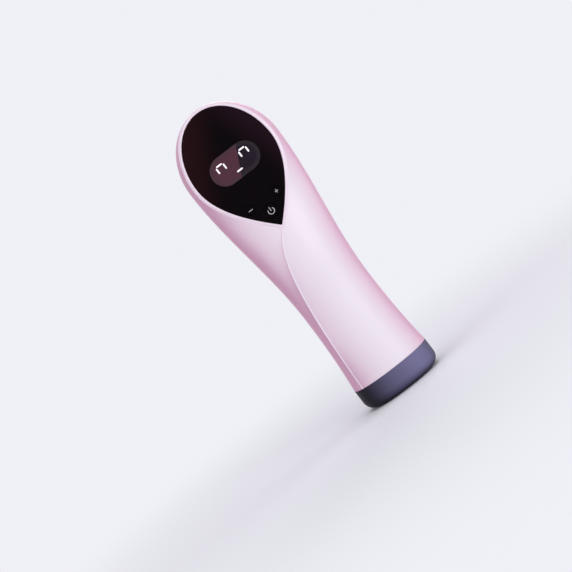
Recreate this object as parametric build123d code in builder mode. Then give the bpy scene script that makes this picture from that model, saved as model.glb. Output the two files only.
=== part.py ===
"""Hand-held fetal doppler monitor that stands upright on its probe.

A drop-shaped glossy window with three keys tilts back in the head. Two pink shells
meet on the plane Y = 0 and carry the boards, the battery and the loudspeaker. A dark
cap at the foot holds the ultrasound probe. Millimetres, +Z up, front towards -Y, and
the origin is in the middle of the face that it stands on.
"""

import os
from math import asin, cos, exp, pi, radians, sin, sqrt, tan

from build123d import *

# ---------------------------------------------------------------- driving dimensions
height = 140.0
head_level = 114.0  # where the head is widest
head_half_width = 22.1
head_back_depth = 16.2
waist_level = 46.0
waist_half_width = 16.05
waist_front_depth = 14.4
waist_back_depth = 12.6
back_waist_level = 56.0
cap_height = 10.5
foot_half_width = 17.9  # where the shells meet the dark cap
foot_depth = 15.0  # the same, front and back
roundness = 2.2  # exponent of the superellipse sections, 2 is an ellipse
crown_cut = 0.997  # the crown stops a little short of its point
top_depth_share = 0.75  # depth in front above the window's land, as a share of the face's
handle_flare = 2.2  # how late the handle widens towards the cap
back_flare = 1.8
wall = 2.0
fit_gap = 0.1  # between pieces that are glued or pushed together
run_gap = 0.15  # around the keys

# the tilted face with the drop-shaped window
face_tilt = 10.0
tip_level = 82.6  # height of the window's tip
face_depth_at_tip = 13.4
drop_half_width = 18.6
drop_flank = 32.0  # from the tip up to the widest place
drop_crown = 24.7  # from there to the top
rim_width = 1.0
rim_height = 0.5
land_margin = 1.45  # flat land around the window, with the rim on it
window_thickness = 1.6
window_proud = 0.25
face_floor_thickness = 1.5

# the crease that runs on from the tip
crease_offset = 18.0
crease_onset = 6.0
crease_fade = 26.0  # it dies away over this height above the cap
crease_lift = 0.35
crease_lift_power = 2.2
crease_dip = 0.25

# display and keys, placed along the face from the window's tip
display_up = 31.1
pill_width = 22.3
pill_height = 12.6
pill_thickness = 0.5
eye_offset = 5.6
eye_up = 33.1
eye_width = 4.1
eye_height = 3.2
dash_up = 27.8
dash_width = 2.7
bar_width = 0.68
bar_gap = 0.35  # from the corner where the middles of two bars meet to the end of each
bar_depth = 0.2
glass_width = 24.0
glass_height = 14.4
glass_thickness = 1.8
power_up = 7.1
power_radius = 3.0
volume_up = 12.1
volume_offset = 6.45
volume_radius = 2.0
key_travel = 0.4
key_edge = 0.12
key_flange = 0.4
key_flange_thickness = 0.6
stem_radius = 1.1
switch_size = 3.6
switch_thickness = 1.5
plunger_radius = 0.75
plunger_gap = 0.05
plunger_proud = 0.55
plunger_seat = 0.5
board_thickness = 1.2
display_board_depth = 5.4  # front of the display board behind the face
display_board_inset = 0.6
display_screw_offset = 9.0
display_screw_up = 45.5
display_low_screw_up = 18.0

# loudspeaker behind the grille in the back
speaker_level = 110.3
speaker_radius = 13.8
speaker_wall = 1.2
speaker_floor = 0.8
speaker_back = 9.0  # edge of its frame, towards the grille
speaker_depth = 4.5
cone_thickness = 0.4
cone_drop = 2.4
coil_radius = 3.3
coil_wall = 0.4
coil_gap = 0.3
coil_dip = 1.8  # how far the coil reaches into the magnet
magnet_radius = 7.0
magnet_depth = 3.2
magnet_floor = 0.8
gasket_thickness = 0.6
speaker_seat_width = 1.8
grille_rings = 4
grille_pitch = 2.76
grille_hole_radius = 0.9
mesh_radius = 12.5
mesh_ledge = 0.6
mesh_thickness = 0.4
mesh_back = 11.7

# earphone socket
socket_level = 81.7
socket_radius = 1.8
socket_length = 14.0
ferrule_radius = 2.3
ferrule_length = 3.0
dimple_radius = 3.05
dimple_depth = 0.6
socket_body_radius = 4.0
socket_end_wall = 1.0
socket_top = 11.5
socket_ring_wall = 1.2
socket_ring_front = 7.0
contact_offset = 2.3
contact_width = 1.2
contact_thickness = 0.5
contact_tail = 0.4

# main board and battery in the handle
board_front = -6.6
board_width = 22.0
board_low = 17.0
board_high = 73.0
board_screw_offset = 9.0
board_screw_inset = 5.0
screw_radius = 0.8
screw_fit = 0.05
screw_reach = 2.4  # how far a screw enters its post
screw_head_radius = 1.6
screw_head_thickness = 0.9
boss_radius = 2.2
battery_width = 19.0
battery_thickness = 7.5
battery_low = 24.0
battery_high = 66.0
battery_front = -3.2
battery_edge = 1.2
tray_wall = 0.8
tray_lip = 6.0
pad_thickness = 0.6
pad_width = 12.0
pad_height = 30.0
rib_levels = (28.0, 45.0, 62.0)
rib_width = 12.0
rib_thickness = 1.2
flex_width = 6.0
flex_thickness = 0.2
connector_width = 7.0
connector_height = 2.5
connector_thickness = 1.2
flex_bend = 4.0
lead_radius = 0.45
lead_pitch = 1.2
lead_stand = 1.5  # socket wires stand off their tails before they turn
lead_height = 3.0  # wires stand this high off the main board before they turn
lead_inset = 1.5  # from the top of the main board
bend_share = 0.45
speaker_tag_level = 101.0
speaker_lead_drop = 3.5
speaker_lead_bend = 86.0
speaker_lead_height = 4.0
speaker_lead_offset = 8.2
battery_lead_offset = 4.4
probe_lead_spread = (-3.0, -1.0, 1.0, 3.0)
probe_lead_inset = 2.5
flex_end_up = 9.1

# seam between the shells
lip_wall = 0.9
lip_height = 0.7
lip_low = 16.0

# probe in the cap
cap_wall = 2.2
cap_floor = 1.8
cap_corner = 4.6
spigot_height = 4.5
spigot_wall = 1.5
seal_level = 12.2
seal_height = 1.2
seal_depth = 0.7
seal_squeeze = 0.05
probe_window_inset = 6.4
probe_flange = 1.0
probe_flange_thickness = 0.8
crystal_radius = 8.0
crystal_split = 0.6
crystal_thickness = 1.0
backing_radius = 8.6
backing_height = 5.0

# ---------------------------------------------------------------- worked-out values
front_steps = 12
back_steps = 16
facet_steps = 8
round_pull = 0.5523  # handle length that bends a Bezier curve to a quarter of an ellipse
handle_steps = 11
flank_steps = 7
crown_steps = 10
level_spread = 1.3
tilt = radians(face_tilt)
face = Plane(
    origin=(0, -face_depth_at_tip, tip_level), x_dir=(1, 0, 0), z_dir=(0, -cos(tilt), sin(tilt))
)
window_back = window_thickness - window_proud
floor_depth = window_back + face_floor_thickness
glass_front = window_back + fit_gap
glass_back = glass_front + glass_thickness
flange_front = window_back + fit_gap
flange_back = flange_front + key_flange_thickness
switch_front = display_board_depth - switch_thickness
plunger_front = switch_front - plunger_proud
plunger_back = switch_front + plunger_seat
display_board_back = display_board_depth + board_thickness
keys = {
    "power": (0, power_up, power_radius),
    "volume_down": (-volume_offset, volume_up, volume_radius),
    "volume_up": (volume_offset, volume_up, volume_radius),
}
display_screws = [
    (-display_screw_offset, display_screw_up),
    (display_screw_offset, display_screw_up),
    (0, display_low_screw_up),
]
speaker_front = speaker_back - speaker_depth
magnet_front = speaker_front - magnet_depth
speaker_seat = speaker_back + gasket_thickness
mesh_front = mesh_back - mesh_thickness
board_back = board_front + board_thickness
board_middle = (board_low + board_high) / 2
board_screw_span = 2 * board_screw_offset
board_screw_rise = board_high - board_low - 2 * board_screw_inset
battery_back = battery_front + battery_thickness
battery_middle = (battery_low + battery_high) / 2
lead_level = board_high - lead_inset
tray_front = battery_back + pad_thickness
tray_back = tray_front + tray_wall
probe_top = cap_floor + probe_flange_thickness
crystal_top = probe_top + crystal_thickness
backing_top = crystal_top + backing_height


def ease(share):
    """Smooth step from 0 to 1."""
    share = min(max(share, 0), 1)
    return share * share * (3 - 2 * share)


def apex(inset):
    return head_level + (height - head_level) / crown_cut - inset


def crown_share(z, inset):
    """Width of the crown at z as a share of the head's."""
    return sqrt(1 - ((z - head_level) / (apex(inset) - head_level)) ** 2)


def half_width(z, inset=0.0):
    if z > head_level:
        return (head_half_width - inset) * crown_share(z, inset)
    if z > waist_level:
        rise = ease((z - waist_level) / (head_level - waist_level))
        return waist_half_width + (head_half_width - waist_half_width) * rise - inset
    drop = (waist_level - z) / (waist_level - cap_height)
    return waist_half_width + (foot_half_width - waist_half_width) * drop**handle_flare - inset


def back_depth(z, inset=0.0):
    if z > head_level:
        return (head_back_depth - inset) * crown_share(z, inset)
    if z > back_waist_level:
        rise = ease((z - back_waist_level) / (head_level - back_waist_level))
        return waist_back_depth + (head_back_depth - waist_back_depth) * rise - inset
    drop = (back_waist_level - z) / (back_waist_level - cap_height)
    return waist_back_depth + (foot_depth - waist_back_depth) * drop**back_flare - inset


def face_depth(z):
    """Depth of the tilted face in front of the parting plane."""
    return face_depth_at_tip - (z - tip_level) * tan(tilt)


def drop_reach(z, grow):
    """Half width of the grown drop where its face crosses the height z."""
    up = (z - tip_level) / cos(tilt)
    tip = -grow * sqrt(2)
    half = drop_half_width + grow
    if up <= tip or up >= drop_flank + drop_crown + grow:
        return 0.0
    if up >= drop_flank:
        return half * sqrt(1 - ((up - drop_flank) / (drop_crown + grow)) ** 2)
    rise = drop_flank - tip
    s = (up - tip) / rise
    return (s**3 - 2 * s**2 + s) * rise + (3 * s**2 - 2 * s**3) * half


def plain_share(share):
    """Depth of the plain section at a sideways share of its width."""
    return max(1 - min(share, 1) ** roundness, 0) ** (1 / roundness)


def front_depth(z, inset=0.0):
    """Depth that brings the section through the edge of the face's land."""
    land_tip = tip_level - land_margin * sqrt(2) * cos(tilt)
    land_top = tip_level + (drop_flank + drop_crown + land_margin) * cos(tilt)
    if z >= land_top:
        return top_depth_share * face_depth(z) - inset / 2
    if z > land_tip:
        reach = drop_reach(z, land_margin) / half_width(z)
        return face_depth(z) / plain_share(reach) - inset
    if z > waist_level:
        run = land_tip - waist_level
        s = (z - waist_level) / run
        belly = (3 * s**2 - 2 * s**3) * (face_depth(land_tip) - waist_front_depth)
        return waist_front_depth + belly - (s**3 - s**2) * run * tan(tilt) - inset
    drop = (waist_level - z) / (waist_level - cap_height)
    return waist_front_depth + (foot_depth - waist_front_depth) * drop**handle_flare - inset


def crease_share(z):
    """Sideways place of the crease as a share of the half width."""
    below = max(tip_level - z, 0)
    return below * crease_offset / (below + crease_offset) / half_width(z)


def crease_strength(z):
    below = max(tip_level - z, 0)
    return (1 - exp(-below / crease_onset)) * ease((z - cap_height) / crease_fade)


def lifted_share(share, strength):
    """The front stays fuller than the plain section on its way to the crease."""
    return plain_share(share) + strength * (
        1 - crease_lift * share**crease_lift_power - plain_share(share)
    )


def outline(z, inset=0.0):
    """The section at height z, one closed curve that starts and ends at the crease."""
    width = half_width(z, inset)
    front = front_depth(z, inset)
    back = back_depth(z, inset)
    crease = crease_share(z)
    strength = crease_strength(z)
    turn = asin(crease ** (roundness / 2))
    lift = lifted_share(crease, strength) / plain_share(crease)
    power = 2 / roundness
    points = []
    for step in range(front_steps):
        angle = turn - (pi / 2 + turn) * step / front_steps
        share = abs(sin(angle)) ** power
        forward = lifted_share(share, strength) if angle > 0 else cos(angle) ** power
        points.append((width * share * (-1 if angle > 0 else 1), -front * forward))
    for step in range(back_steps):
        angle = pi * step / back_steps
        across = cos(angle)
        side = 1 if across > 0 else -1
        points.append((side * width * abs(across) ** power, back * sin(angle) ** power))
    for step in range(facet_steps + 1):
        angle = pi / 2 - (pi / 2 - turn) * step / facet_steps
        share = sin(angle) ** power
        along = (share - crease) / (1 - crease)
        dip = 1 - crease_dip * strength * along * (1 - along) ** 2
        points.append((-width * share, -front * lift * dip * plain_share(share)))
    points[-1] = points[0]
    even = [k / (len(points) - 1) for k in range(len(points))]
    curve = Edge.make_spline([Vector(*point, z) for point in points], parameters=even)
    return Face(Wire([curve]))


def levels(inset):
    """Heights of the sections, closer together near the window's tip and the crown."""
    low = cap_height - (wall / 2 if inset else 0)  # hollows start lower, to cut right through
    handle = [(1 - step / handle_steps) ** level_spread for step in range(handle_steps)]
    flank = [(step / flank_steps) ** level_spread for step in range(flank_steps)]
    crown = [crown_cut * sin(pi / 2 * step / crown_steps) for step in range(crown_steps + 1)]
    return (
        [tip_level - (tip_level - low) * share for share in handle]
        + [tip_level + (head_level - tip_level) * share for share in flank]
        + [head_level + (apex(inset) - head_level) * share for share in crown]
    )


def body_form(inset):
    """The whole outer form, drawn in by inset."""
    with BuildPart() as form:
        loft(sections=[outline(z, inset) for z in levels(inset)])
    return form.part


def drop(grow=0.0):
    """The window's drop on the face plane, grown by a margin."""
    tip = -grow * sqrt(2)
    half = drop_half_width + grow
    top = drop_crown + grow
    third = (drop_flank - tip) / 3
    with BuildLine() as edge:
        Bezier((0, tip), (third, tip + third), (half, drop_flank - third), (half, drop_flank))
        Bezier(
            (half, drop_flank),
            (half, drop_flank + round_pull * top),
            (round_pull * half, drop_flank + top),
            (0, drop_flank + top),
        )
        mirror(about=Plane.YZ)
    return edge.edges()


def at(y):
    """The upright plane across the monitor at depth y, facing the front."""
    return Plane.XZ.offset(-y)


def behind_face(depth):
    """The face plane moved straight into the body."""
    return face.offset(-depth)


def bend_radii(route):
    """One radius for each corner, as large as its two runs allow."""
    corners = [Vector(*point) for point in route]
    radii = []
    for before, corner, after in zip(corners, corners[1:], corners[2:]):
        turn = radians((corner - before).get_angle(after - corner))
        shorter = min((corner - before).length, (after - corner).length)
        radii.append(bend_share * shorter / tan(turn / 2))
    return radii


def lead(route):
    """One round wire along straight runs joined by arcs."""
    with BuildPart() as wire:
        with BuildLine() as path:
            FilletPolyline(*route, radius=bend_radii(route))
        with BuildSketch(Plane(origin=path.line @ 0, z_dir=path.line % 0)):
            Circle(lead_radius)
        sweep(path=path.line)
    return wire.part


def screw(plane):
    """One pan-head screw, its head on the plane and its shank behind it."""
    with BuildPart() as fastener:
        with BuildSketch(plane):
            Circle(screw_head_radius)
        extrude(amount=screw_head_thickness)
        fillet(fastener.faces().sort_by(Axis(plane.origin, plane.z_dir))[-1].edges(), screw_radius / 2)
        with BuildSketch(plane):
            Circle(screw_radius)
        extrude(amount=-(board_thickness + screw_reach))
        with BuildSketch(plane.offset(screw_head_thickness)):
            Rectangle(2 * screw_radius, screw_radius / 2)
            Rectangle(screw_radius / 2, 2 * screw_radius)
        extrude(amount=-screw_head_thickness / 2, mode=Mode.SUBTRACT)
    return fastener.part


def keep(piece, name):
    """Name a finished piece and write it out."""
    piece.part.label = name
    export_step(piece.part, f"parts/{name}.step")


os.makedirs("parts", exist_ok=True)

# ---------------------------------------------------------------- shells
outer_form = body_form(0)
cavity_form = body_form(wall)
root_form = body_form(wall / 2)  # posts, ribs and rings run this far into the wall
lip_form = body_form(wall + fit_gap)
lip_inner_form = body_form(wall + fit_gap + lip_wall)

with BuildPart() as front_cavity:
    add(cavity_form)
    split(bisect_by=behind_face(floor_depth), keep=Keep.BOTTOM)

with BuildPart() as board_posts:
    with BuildSketch(at(board_front)):
        with Locations((0, board_middle)):
            with GridLocations(board_screw_span, board_screw_rise, 2, 2):
                Circle(boss_radius)
    extrude(amount=head_half_width)
    add(root_form, mode=Mode.INTERSECT)

with BuildPart() as front_shell:
    add(outer_form)
    split(bisect_by=face, keep=Keep.BOTTOM)
    split(bisect_by=Plane.XZ, keep=Keep.TOP)
    add(front_cavity.part, mode=Mode.SUBTRACT)
    add(board_posts.part)
    with BuildSketch(at(board_front)):
        with Locations((0, board_middle)):
            with GridLocations(board_screw_span, board_screw_rise, 2, 2):
                Circle(screw_radius + screw_fit)
    extrude(amount=screw_reach + fit_gap, mode=Mode.SUBTRACT)
    # the raised rim and the pocket for the window
    with BuildSketch(behind_face(window_back)):
        make_face(drop(fit_gap + rim_width))
    extrude(amount=window_back + rim_height)
    with BuildSketch(behind_face(window_back)):
        make_face(drop(fit_gap))
    extrude(amount=window_back + rim_height, mode=Mode.SUBTRACT)
    # posts for the display board
    with BuildSketch(behind_face(display_board_depth)):
        with Locations(*display_screws):
            Circle(boss_radius)
    extrude(amount=display_board_depth - floor_depth + face_floor_thickness / 2)
    with BuildSketch(behind_face(display_board_depth)):
        with Locations(*display_screws):
            Circle(screw_radius + screw_fit)
    extrude(amount=screw_reach + fit_gap, mode=Mode.SUBTRACT)
    # openings in the floor for the display and the keys
    with BuildSketch(behind_face(window_back)):
        with Locations((0, display_up)):
            Rectangle(glass_width + 2 * fit_gap, glass_height + 2 * fit_gap)
        for across, up, radius in keys.values():
            with Locations((across, up)):
                Circle(radius + key_flange + run_gap)
    extrude(amount=-face_floor_thickness, mode=Mode.SUBTRACT)
keep(front_shell, "front_shell")

with BuildPart() as seam_lip:
    add(lip_form)
    split(bisect_by=Plane.XZ, keep=Keep.TOP)
    split(bisect_by=at(-lip_height), keep=Keep.BOTTOM)
with BuildPart() as lip_root:
    add(root_form)
    split(bisect_by=Plane.XZ, keep=Keep.BOTTOM)
    split(bisect_by=at(lip_wall), keep=Keep.TOP)
with BuildPart() as lip_ring:
    add(seam_lip.part)
    add(lip_root.part)
    add(lip_inner_form, mode=Mode.SUBTRACT)
    split(bisect_by=Plane.XY.offset(lip_low), keep=Keep.TOP)

with BuildPart() as rear_fittings:
    with BuildSketch(at(speaker_seat)):
        with Locations((0, speaker_level)):
            Circle(mesh_radius + fit_gap + speaker_seat_width)
            Circle(mesh_radius - mesh_ledge, mode=Mode.SUBTRACT)
    extrude(amount=-head_back_depth)
    with BuildSketch(at(socket_ring_front)):
        with Locations((0, socket_level)):
            Circle(socket_body_radius + fit_gap + socket_ring_wall)
            Circle(socket_body_radius + fit_gap, mode=Mode.SUBTRACT)
    extrude(amount=-head_back_depth)
    with BuildSketch(at(tray_back)):
        for level in rib_levels:
            with Locations((0, level)):
                Rectangle(rib_width, rib_thickness)
    extrude(amount=-head_back_depth)
    add(root_form, mode=Mode.INTERSECT)

socket_mouth = back_depth(socket_level) - dimple_depth
socket_end = socket_mouth - socket_length

with BuildPart() as rear_shell:
    add(outer_form)
    split(bisect_by=Plane.XZ, keep=Keep.BOTTOM)
    add(cavity_form, mode=Mode.SUBTRACT)
    add(lip_ring.part)
    add(rear_fittings.part)
    with BuildSketch(at(speaker_seat)):
        with Locations((0, speaker_level)):
            Circle(mesh_radius + fit_gap)
    extrude(amount=-(mesh_back - speaker_seat), mode=Mode.SUBTRACT)
    # the grille: rings of small holes about one in the middle
    with BuildSketch(at(speaker_seat)):
        with Locations((0, speaker_level)):
            Circle(grille_hole_radius)
            for ring in range(1, grille_rings + 1):
                with PolarLocations(ring * grille_pitch, 6 * ring):
                    Circle(grille_hole_radius)
    extrude(amount=-head_back_depth, mode=Mode.SUBTRACT)
    # the earphone socket's dimple and the hole for its ferrule
    with BuildSketch(at(socket_mouth)):
        with Locations((0, socket_level)):
            Circle(dimple_radius)
    extrude(amount=-2 * dimple_depth, mode=Mode.SUBTRACT)
    with BuildSketch(at(socket_ring_front)):
        with Locations((0, socket_level)):
            Circle(ferrule_radius + fit_gap)
    extrude(amount=-head_back_depth, mode=Mode.SUBTRACT)
keep(rear_shell, "rear_shell")

# ---------------------------------------------------------------- window and display
with BuildPart() as display_window:
    with BuildSketch(behind_face(-window_proud)):
        make_face(drop())
        for across, up, radius in keys.values():
            with Locations((across, up)):
                Circle(radius + run_gap, mode=Mode.SUBTRACT)
    extrude(amount=-window_thickness)
    with BuildSketch(behind_face(-window_proud)):
        with Locations((0, display_up)):
            SlotOverall(pill_width + 2 * fit_gap, pill_height + 2 * fit_gap)
    extrude(amount=-pill_thickness, mode=Mode.SUBTRACT)
keep(display_window, "display_window")

# each lit arch is a flat bar and two legs, like the segments of a digit
bar_length = eye_width - bar_width - 2 * bar_gap
leg_length = eye_height - bar_width / 2 - bar_gap
leg_offset = (eye_width - bar_width) / 2
leg_up = (leg_length - eye_height) / 2

with BuildSketch(behind_face(-window_proud)) as light_bars:
    with Locations((-eye_offset, eye_up), (eye_offset, eye_up)):
        with Locations((0, (eye_height - bar_width) / 2)):
            SlotOverall(bar_length, bar_width)
        with Locations((-leg_offset, leg_up), (leg_offset, leg_up)):
            SlotOverall(leg_length, bar_width, rotation=90)
    with Locations((0, dash_up)):
        SlotOverall(dash_width, bar_width)

with BuildPart() as display_filter:
    with BuildSketch(behind_face(-window_proud)):
        with Locations((0, display_up)):
            SlotOverall(pill_width, pill_height)
    extrude(amount=-pill_thickness)
    extrude(light_bars.sketch, amount=-bar_depth, mode=Mode.SUBTRACT)
keep(display_filter, "display_filter")

with BuildPart() as display_light_bars:
    extrude(light_bars.sketch, amount=-bar_depth)
keep(display_light_bars, "display_light_bars")

with BuildPart() as display_glass:
    with BuildSketch(behind_face(glass_front)):
        with Locations((0, display_up)):
            Rectangle(glass_width, glass_height)
    extrude(amount=-glass_thickness)
keep(display_glass, "display_glass")

with BuildPart() as display_backlight:
    with BuildSketch(behind_face(glass_back)):
        with Locations((0, display_up)):
            Rectangle(glass_width, glass_height)
    extrude(amount=-(display_board_depth - glass_back))
keep(display_backlight, "display_backlight")

with BuildPart() as display_board:
    with BuildSketch(behind_face(display_board_depth)):
        make_face(drop(-display_board_inset))
        with Locations(*display_screws):
            Circle(screw_radius + screw_fit, mode=Mode.SUBTRACT)
    extrude(amount=-board_thickness)
keep(display_board, "display_board")

display_screw_planes = [
    Plane(origin=behind_face(display_board_back).from_local_coords((x, up, 0)), z_dir=-face.z_dir)
    for x, up in display_screws
]
display_screw_parts = [screw(plane) for plane in display_screw_planes]
with BuildPart() as display_board_screws:
    add(display_screw_parts)
keep(display_board_screws, "display_board_screws")

# ---------------------------------------------------------------- keys and their switches
for name, (across, up, radius) in keys.items():
    with BuildPart() as key:
        with BuildSketch(behind_face(-window_proud)):
            with Locations((across, up)):
                Circle(radius)
        extrude(amount=-(window_proud + flange_front))
        fillet(key.faces().sort_by(Axis(face.origin, face.z_dir))[-1].edges(), key_edge)
        with BuildSketch(behind_face(flange_front)):
            with Locations((across, up)):
                Circle(radius + key_flange)
        extrude(amount=-key_flange_thickness)
        with BuildSketch(behind_face(flange_back)):
            with Locations((across, up)):
                Circle(stem_radius)
        extrude(amount=-(plunger_front - flange_back))
    keep(key, name + "_key")

    with BuildPart() as plunger:
        with BuildSketch(behind_face(plunger_front)):
            with Locations((across, up)):
                Circle(plunger_radius)
        extrude(amount=-(plunger_back - plunger_front))
    keep(plunger, name + "_plunger")

with BuildPart() as key_switches:
    with BuildSketch(behind_face(switch_front)):
        for across, up, radius in keys.values():
            with Locations((across, up)):
                Rectangle(switch_size, switch_size)
    extrude(amount=-switch_thickness)
    with BuildSketch(behind_face(switch_front)):
        for across, up, radius in keys.values():
            with Locations((across, up)):
                Circle(plunger_radius + plunger_gap)
    extrude(amount=-(plunger_seat + key_travel + fit_gap), mode=Mode.SUBTRACT)
keep(key_switches, "key_switches")

# ---------------------------------------------------------------- loudspeaker
speaker_centre = (0, speaker_level)

with BuildPart() as speaker_gasket:
    with BuildSketch(at(speaker_back)):
        with Locations(speaker_centre):
            Circle(speaker_radius)
            Circle(speaker_radius - speaker_wall, mode=Mode.SUBTRACT)
    extrude(amount=-gasket_thickness)
keep(speaker_gasket, "speaker_gasket")

with BuildPart() as speaker_frame:
    with BuildSketch(at(speaker_front)):
        with Locations(speaker_centre):
            Circle(speaker_radius)
    extrude(amount=-speaker_depth)
    with BuildSketch(at(speaker_front + speaker_floor)):
        with Locations(speaker_centre):
            Circle(speaker_radius - speaker_wall)
    extrude(amount=-speaker_depth, mode=Mode.SUBTRACT)
    with BuildSketch(at(speaker_front)):
        with Locations(speaker_centre):
            Circle(coil_radius + coil_wall + coil_gap)
    extrude(amount=-speaker_floor, mode=Mode.SUBTRACT)
keep(speaker_frame, "speaker_frame")

cone_rim = speaker_radius - speaker_wall
cone_level = speaker_back - cone_thickness
with BuildPart() as speaker_cone:
    with BuildSketch(Plane.YZ):
        with BuildLine():
            Polyline(
                (cone_level, speaker_level),
                (cone_level, speaker_level + coil_radius / 2),
                (cone_level - cone_drop, speaker_level + coil_radius - coil_wall),
                (cone_level - cone_drop, speaker_level + coil_radius),
                (cone_level, speaker_level + cone_rim - speaker_wall),
                (cone_level, speaker_level + cone_rim),
                (speaker_back, speaker_level + cone_rim),
                (speaker_back, speaker_level + cone_rim - speaker_wall),
                (cone_level - cone_drop + cone_thickness, speaker_level + coil_radius + cone_thickness),
                (speaker_back, speaker_level + coil_radius / 2 + cone_thickness),
                (speaker_back, speaker_level),
                close=True,
            )
        make_face()
    revolve(axis=Axis((0, 0, speaker_level), (0, 1, 0)))
keep(speaker_cone, "speaker_cone")

coil_front = speaker_front - coil_dip
with BuildPart() as speaker_voice_coil:
    with BuildSketch(at(coil_front)):
        with Locations(speaker_centre):
            Circle(coil_radius)
            Circle(coil_radius - coil_wall, mode=Mode.SUBTRACT)
    extrude(amount=-(cone_level - cone_drop - coil_front))
keep(speaker_voice_coil, "speaker_voice_coil")

with BuildPart() as speaker_magnet:
    with BuildSketch(at(magnet_front)):
        with Locations(speaker_centre):
            Circle(magnet_radius)
    extrude(amount=-magnet_depth)
    with BuildSketch(at(magnet_front + magnet_floor)):
        with Locations(speaker_centre):
            Circle(coil_radius + coil_gap)
            Circle(coil_radius - coil_wall - coil_gap, mode=Mode.SUBTRACT)
    extrude(amount=-magnet_depth, mode=Mode.SUBTRACT)
keep(speaker_magnet, "speaker_magnet")

with BuildPart() as speaker_mesh:
    with BuildSketch(at(mesh_front)):
        with Locations(speaker_centre):
            Circle(mesh_radius)
    extrude(amount=-mesh_thickness)
keep(speaker_mesh, "speaker_mesh")

# ---------------------------------------------------------------- earphone socket
ferrule_front = socket_mouth - ferrule_length
body_front = socket_end - socket_end_wall
contacts = [
    (-contact_offset, socket_level, contact_thickness, contact_width),
    (contact_offset, socket_level, contact_thickness, contact_width),
    (0, socket_level - contact_offset, contact_width, contact_thickness),
]

with BuildSketch(at(body_front - contact_tail)) as contact_strips:
    for across, level, width, rise in contacts:
        with Locations((across, level)):
            Rectangle(width, rise)
contact_length = contact_tail + socket_end_wall + socket_length / 2

with BuildPart() as socket_contacts:
    extrude(contact_strips.sketch, amount=-contact_length)
keep(socket_contacts, "socket_contacts")

with BuildPart() as socket_body:
    with BuildSketch(at(body_front)):
        with Locations((0, socket_level)):
            Circle(socket_body_radius)
    extrude(amount=-(socket_top - body_front))
    with BuildSketch(at(ferrule_front)):
        with Locations((0, socket_level)):
            Circle(ferrule_radius + fit_gap)
    extrude(amount=-ferrule_length, mode=Mode.SUBTRACT)
    with BuildSketch(at(socket_end)):
        with Locations((0, socket_level)):
            Circle(socket_radius)
    extrude(amount=-socket_length, mode=Mode.SUBTRACT)
    extrude(contact_strips.sketch, amount=-contact_length, mode=Mode.SUBTRACT)
keep(socket_body, "socket_body")

with BuildPart() as socket_ferrule:
    with BuildSketch(at(ferrule_front)):
        with Locations((0, socket_level)):
            Circle(ferrule_radius)
            Circle(socket_radius, mode=Mode.SUBTRACT)
    extrude(amount=-ferrule_length)
keep(socket_ferrule, "socket_ferrule")

# ---------------------------------------------------------------- main board
with BuildPart() as main_board:
    with BuildSketch(at(board_front)):
        with Locations((0, board_middle)):
            Rectangle(board_width, board_high - board_low)
            with GridLocations(board_screw_span, board_screw_rise, 2, 2):
                Circle(screw_radius + screw_fit, mode=Mode.SUBTRACT)
    extrude(amount=-board_thickness)
keep(main_board, "main_board")

board_screw_planes = [
    Plane(origin=(x, board_back, board_middle + z), z_dir=(0, 1, 0))
    for x in (-board_screw_offset, board_screw_offset)
    for z in (-board_screw_rise / 2, board_screw_rise / 2)
]
board_screw_parts = [screw(plane) for plane in board_screw_planes]
with BuildPart() as main_board_screws:
    add(board_screw_parts)
keep(main_board_screws, "main_board_screws")

# chips on both sides of the board: across, up, width, rise, thickness
back_chips = [(0, 38, 7, 7, 1.0), (-6, 50, 5, 4, 0.9), (5, 52, 4.4, 6, 0.8), (6.5, 30, 3, 5, 1.2)]
front_chips = [(-4, 60, 9, 9, 1.2), (5, 44, 6, 8, 2.0), (-5, 34, 8, 5, 1.6), (2, 27, 10, 4, 1.4)]
with BuildPart() as main_board_chips:
    for across, up, width, rise, thickness in back_chips:
        with BuildSketch(at(board_back)):
            with Locations((across, up)):
                Rectangle(width, rise)
        extrude(amount=-thickness)
    for across, up, width, rise, thickness in front_chips:
        with BuildSketch(at(board_front)):
            with Locations((across, up)):
                Rectangle(width, rise)
        extrude(amount=thickness)
keep(main_board_chips, "main_board_chips")

flex_low = board_high - connector_height
flex_start = (board_back + connector_thickness / 2, flex_low)
flex_plane = behind_face(display_board_back + connector_thickness / 2)
flex_end = flex_plane.from_local_coords((0, flex_end_up, 0))
with BuildPart() as flex_connectors:
    with BuildSketch(at(board_back)):
        with Locations((0, flex_low - connector_height / 2)):
            Rectangle(connector_width, connector_height)
    extrude(amount=-connector_thickness)
    with BuildSketch(behind_face(display_board_back)):
        with Locations((0, flex_end_up + connector_height / 2)):
            Rectangle(connector_width, connector_height)
    extrude(amount=-connector_thickness)
keep(flex_connectors, "flex_connectors")

flex_rise = (flex_end.Z - flex_low) / 3
with BuildPart() as display_flex:
    with BuildSketch(Plane.YZ):
        with BuildLine():
            FilletPolyline(
                flex_start,
                (flex_start[0], flex_low + flex_rise),
                (flex_start[0] - connector_thickness / 2, flex_low + 2 * flex_rise),
                (flex_end.Y, flex_end.Z),
                radius=flex_bend,
            )
        trace(line_width=flex_thickness)
    extrude(amount=flex_width / 2, both=True)
keep(display_flex, "display_flex")

# ---------------------------------------------------------------- battery
with BuildPart() as battery_cell:
    with BuildSketch(at(battery_front)):
        with Locations((0, battery_middle)):
            Rectangle(battery_width, battery_high - battery_low)
    extrude(amount=-battery_thickness)
    fillet(battery_cell.edges().filter_by(Axis.Z), battery_edge)
keep(battery_cell, "battery_cell")

with BuildPart() as battery_pad:
    with BuildSketch(at(battery_back)):
        with Locations((0, battery_middle)):
            Rectangle(pad_width, pad_height)
    extrude(amount=-pad_thickness)
keep(battery_pad, "battery_pad")

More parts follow.
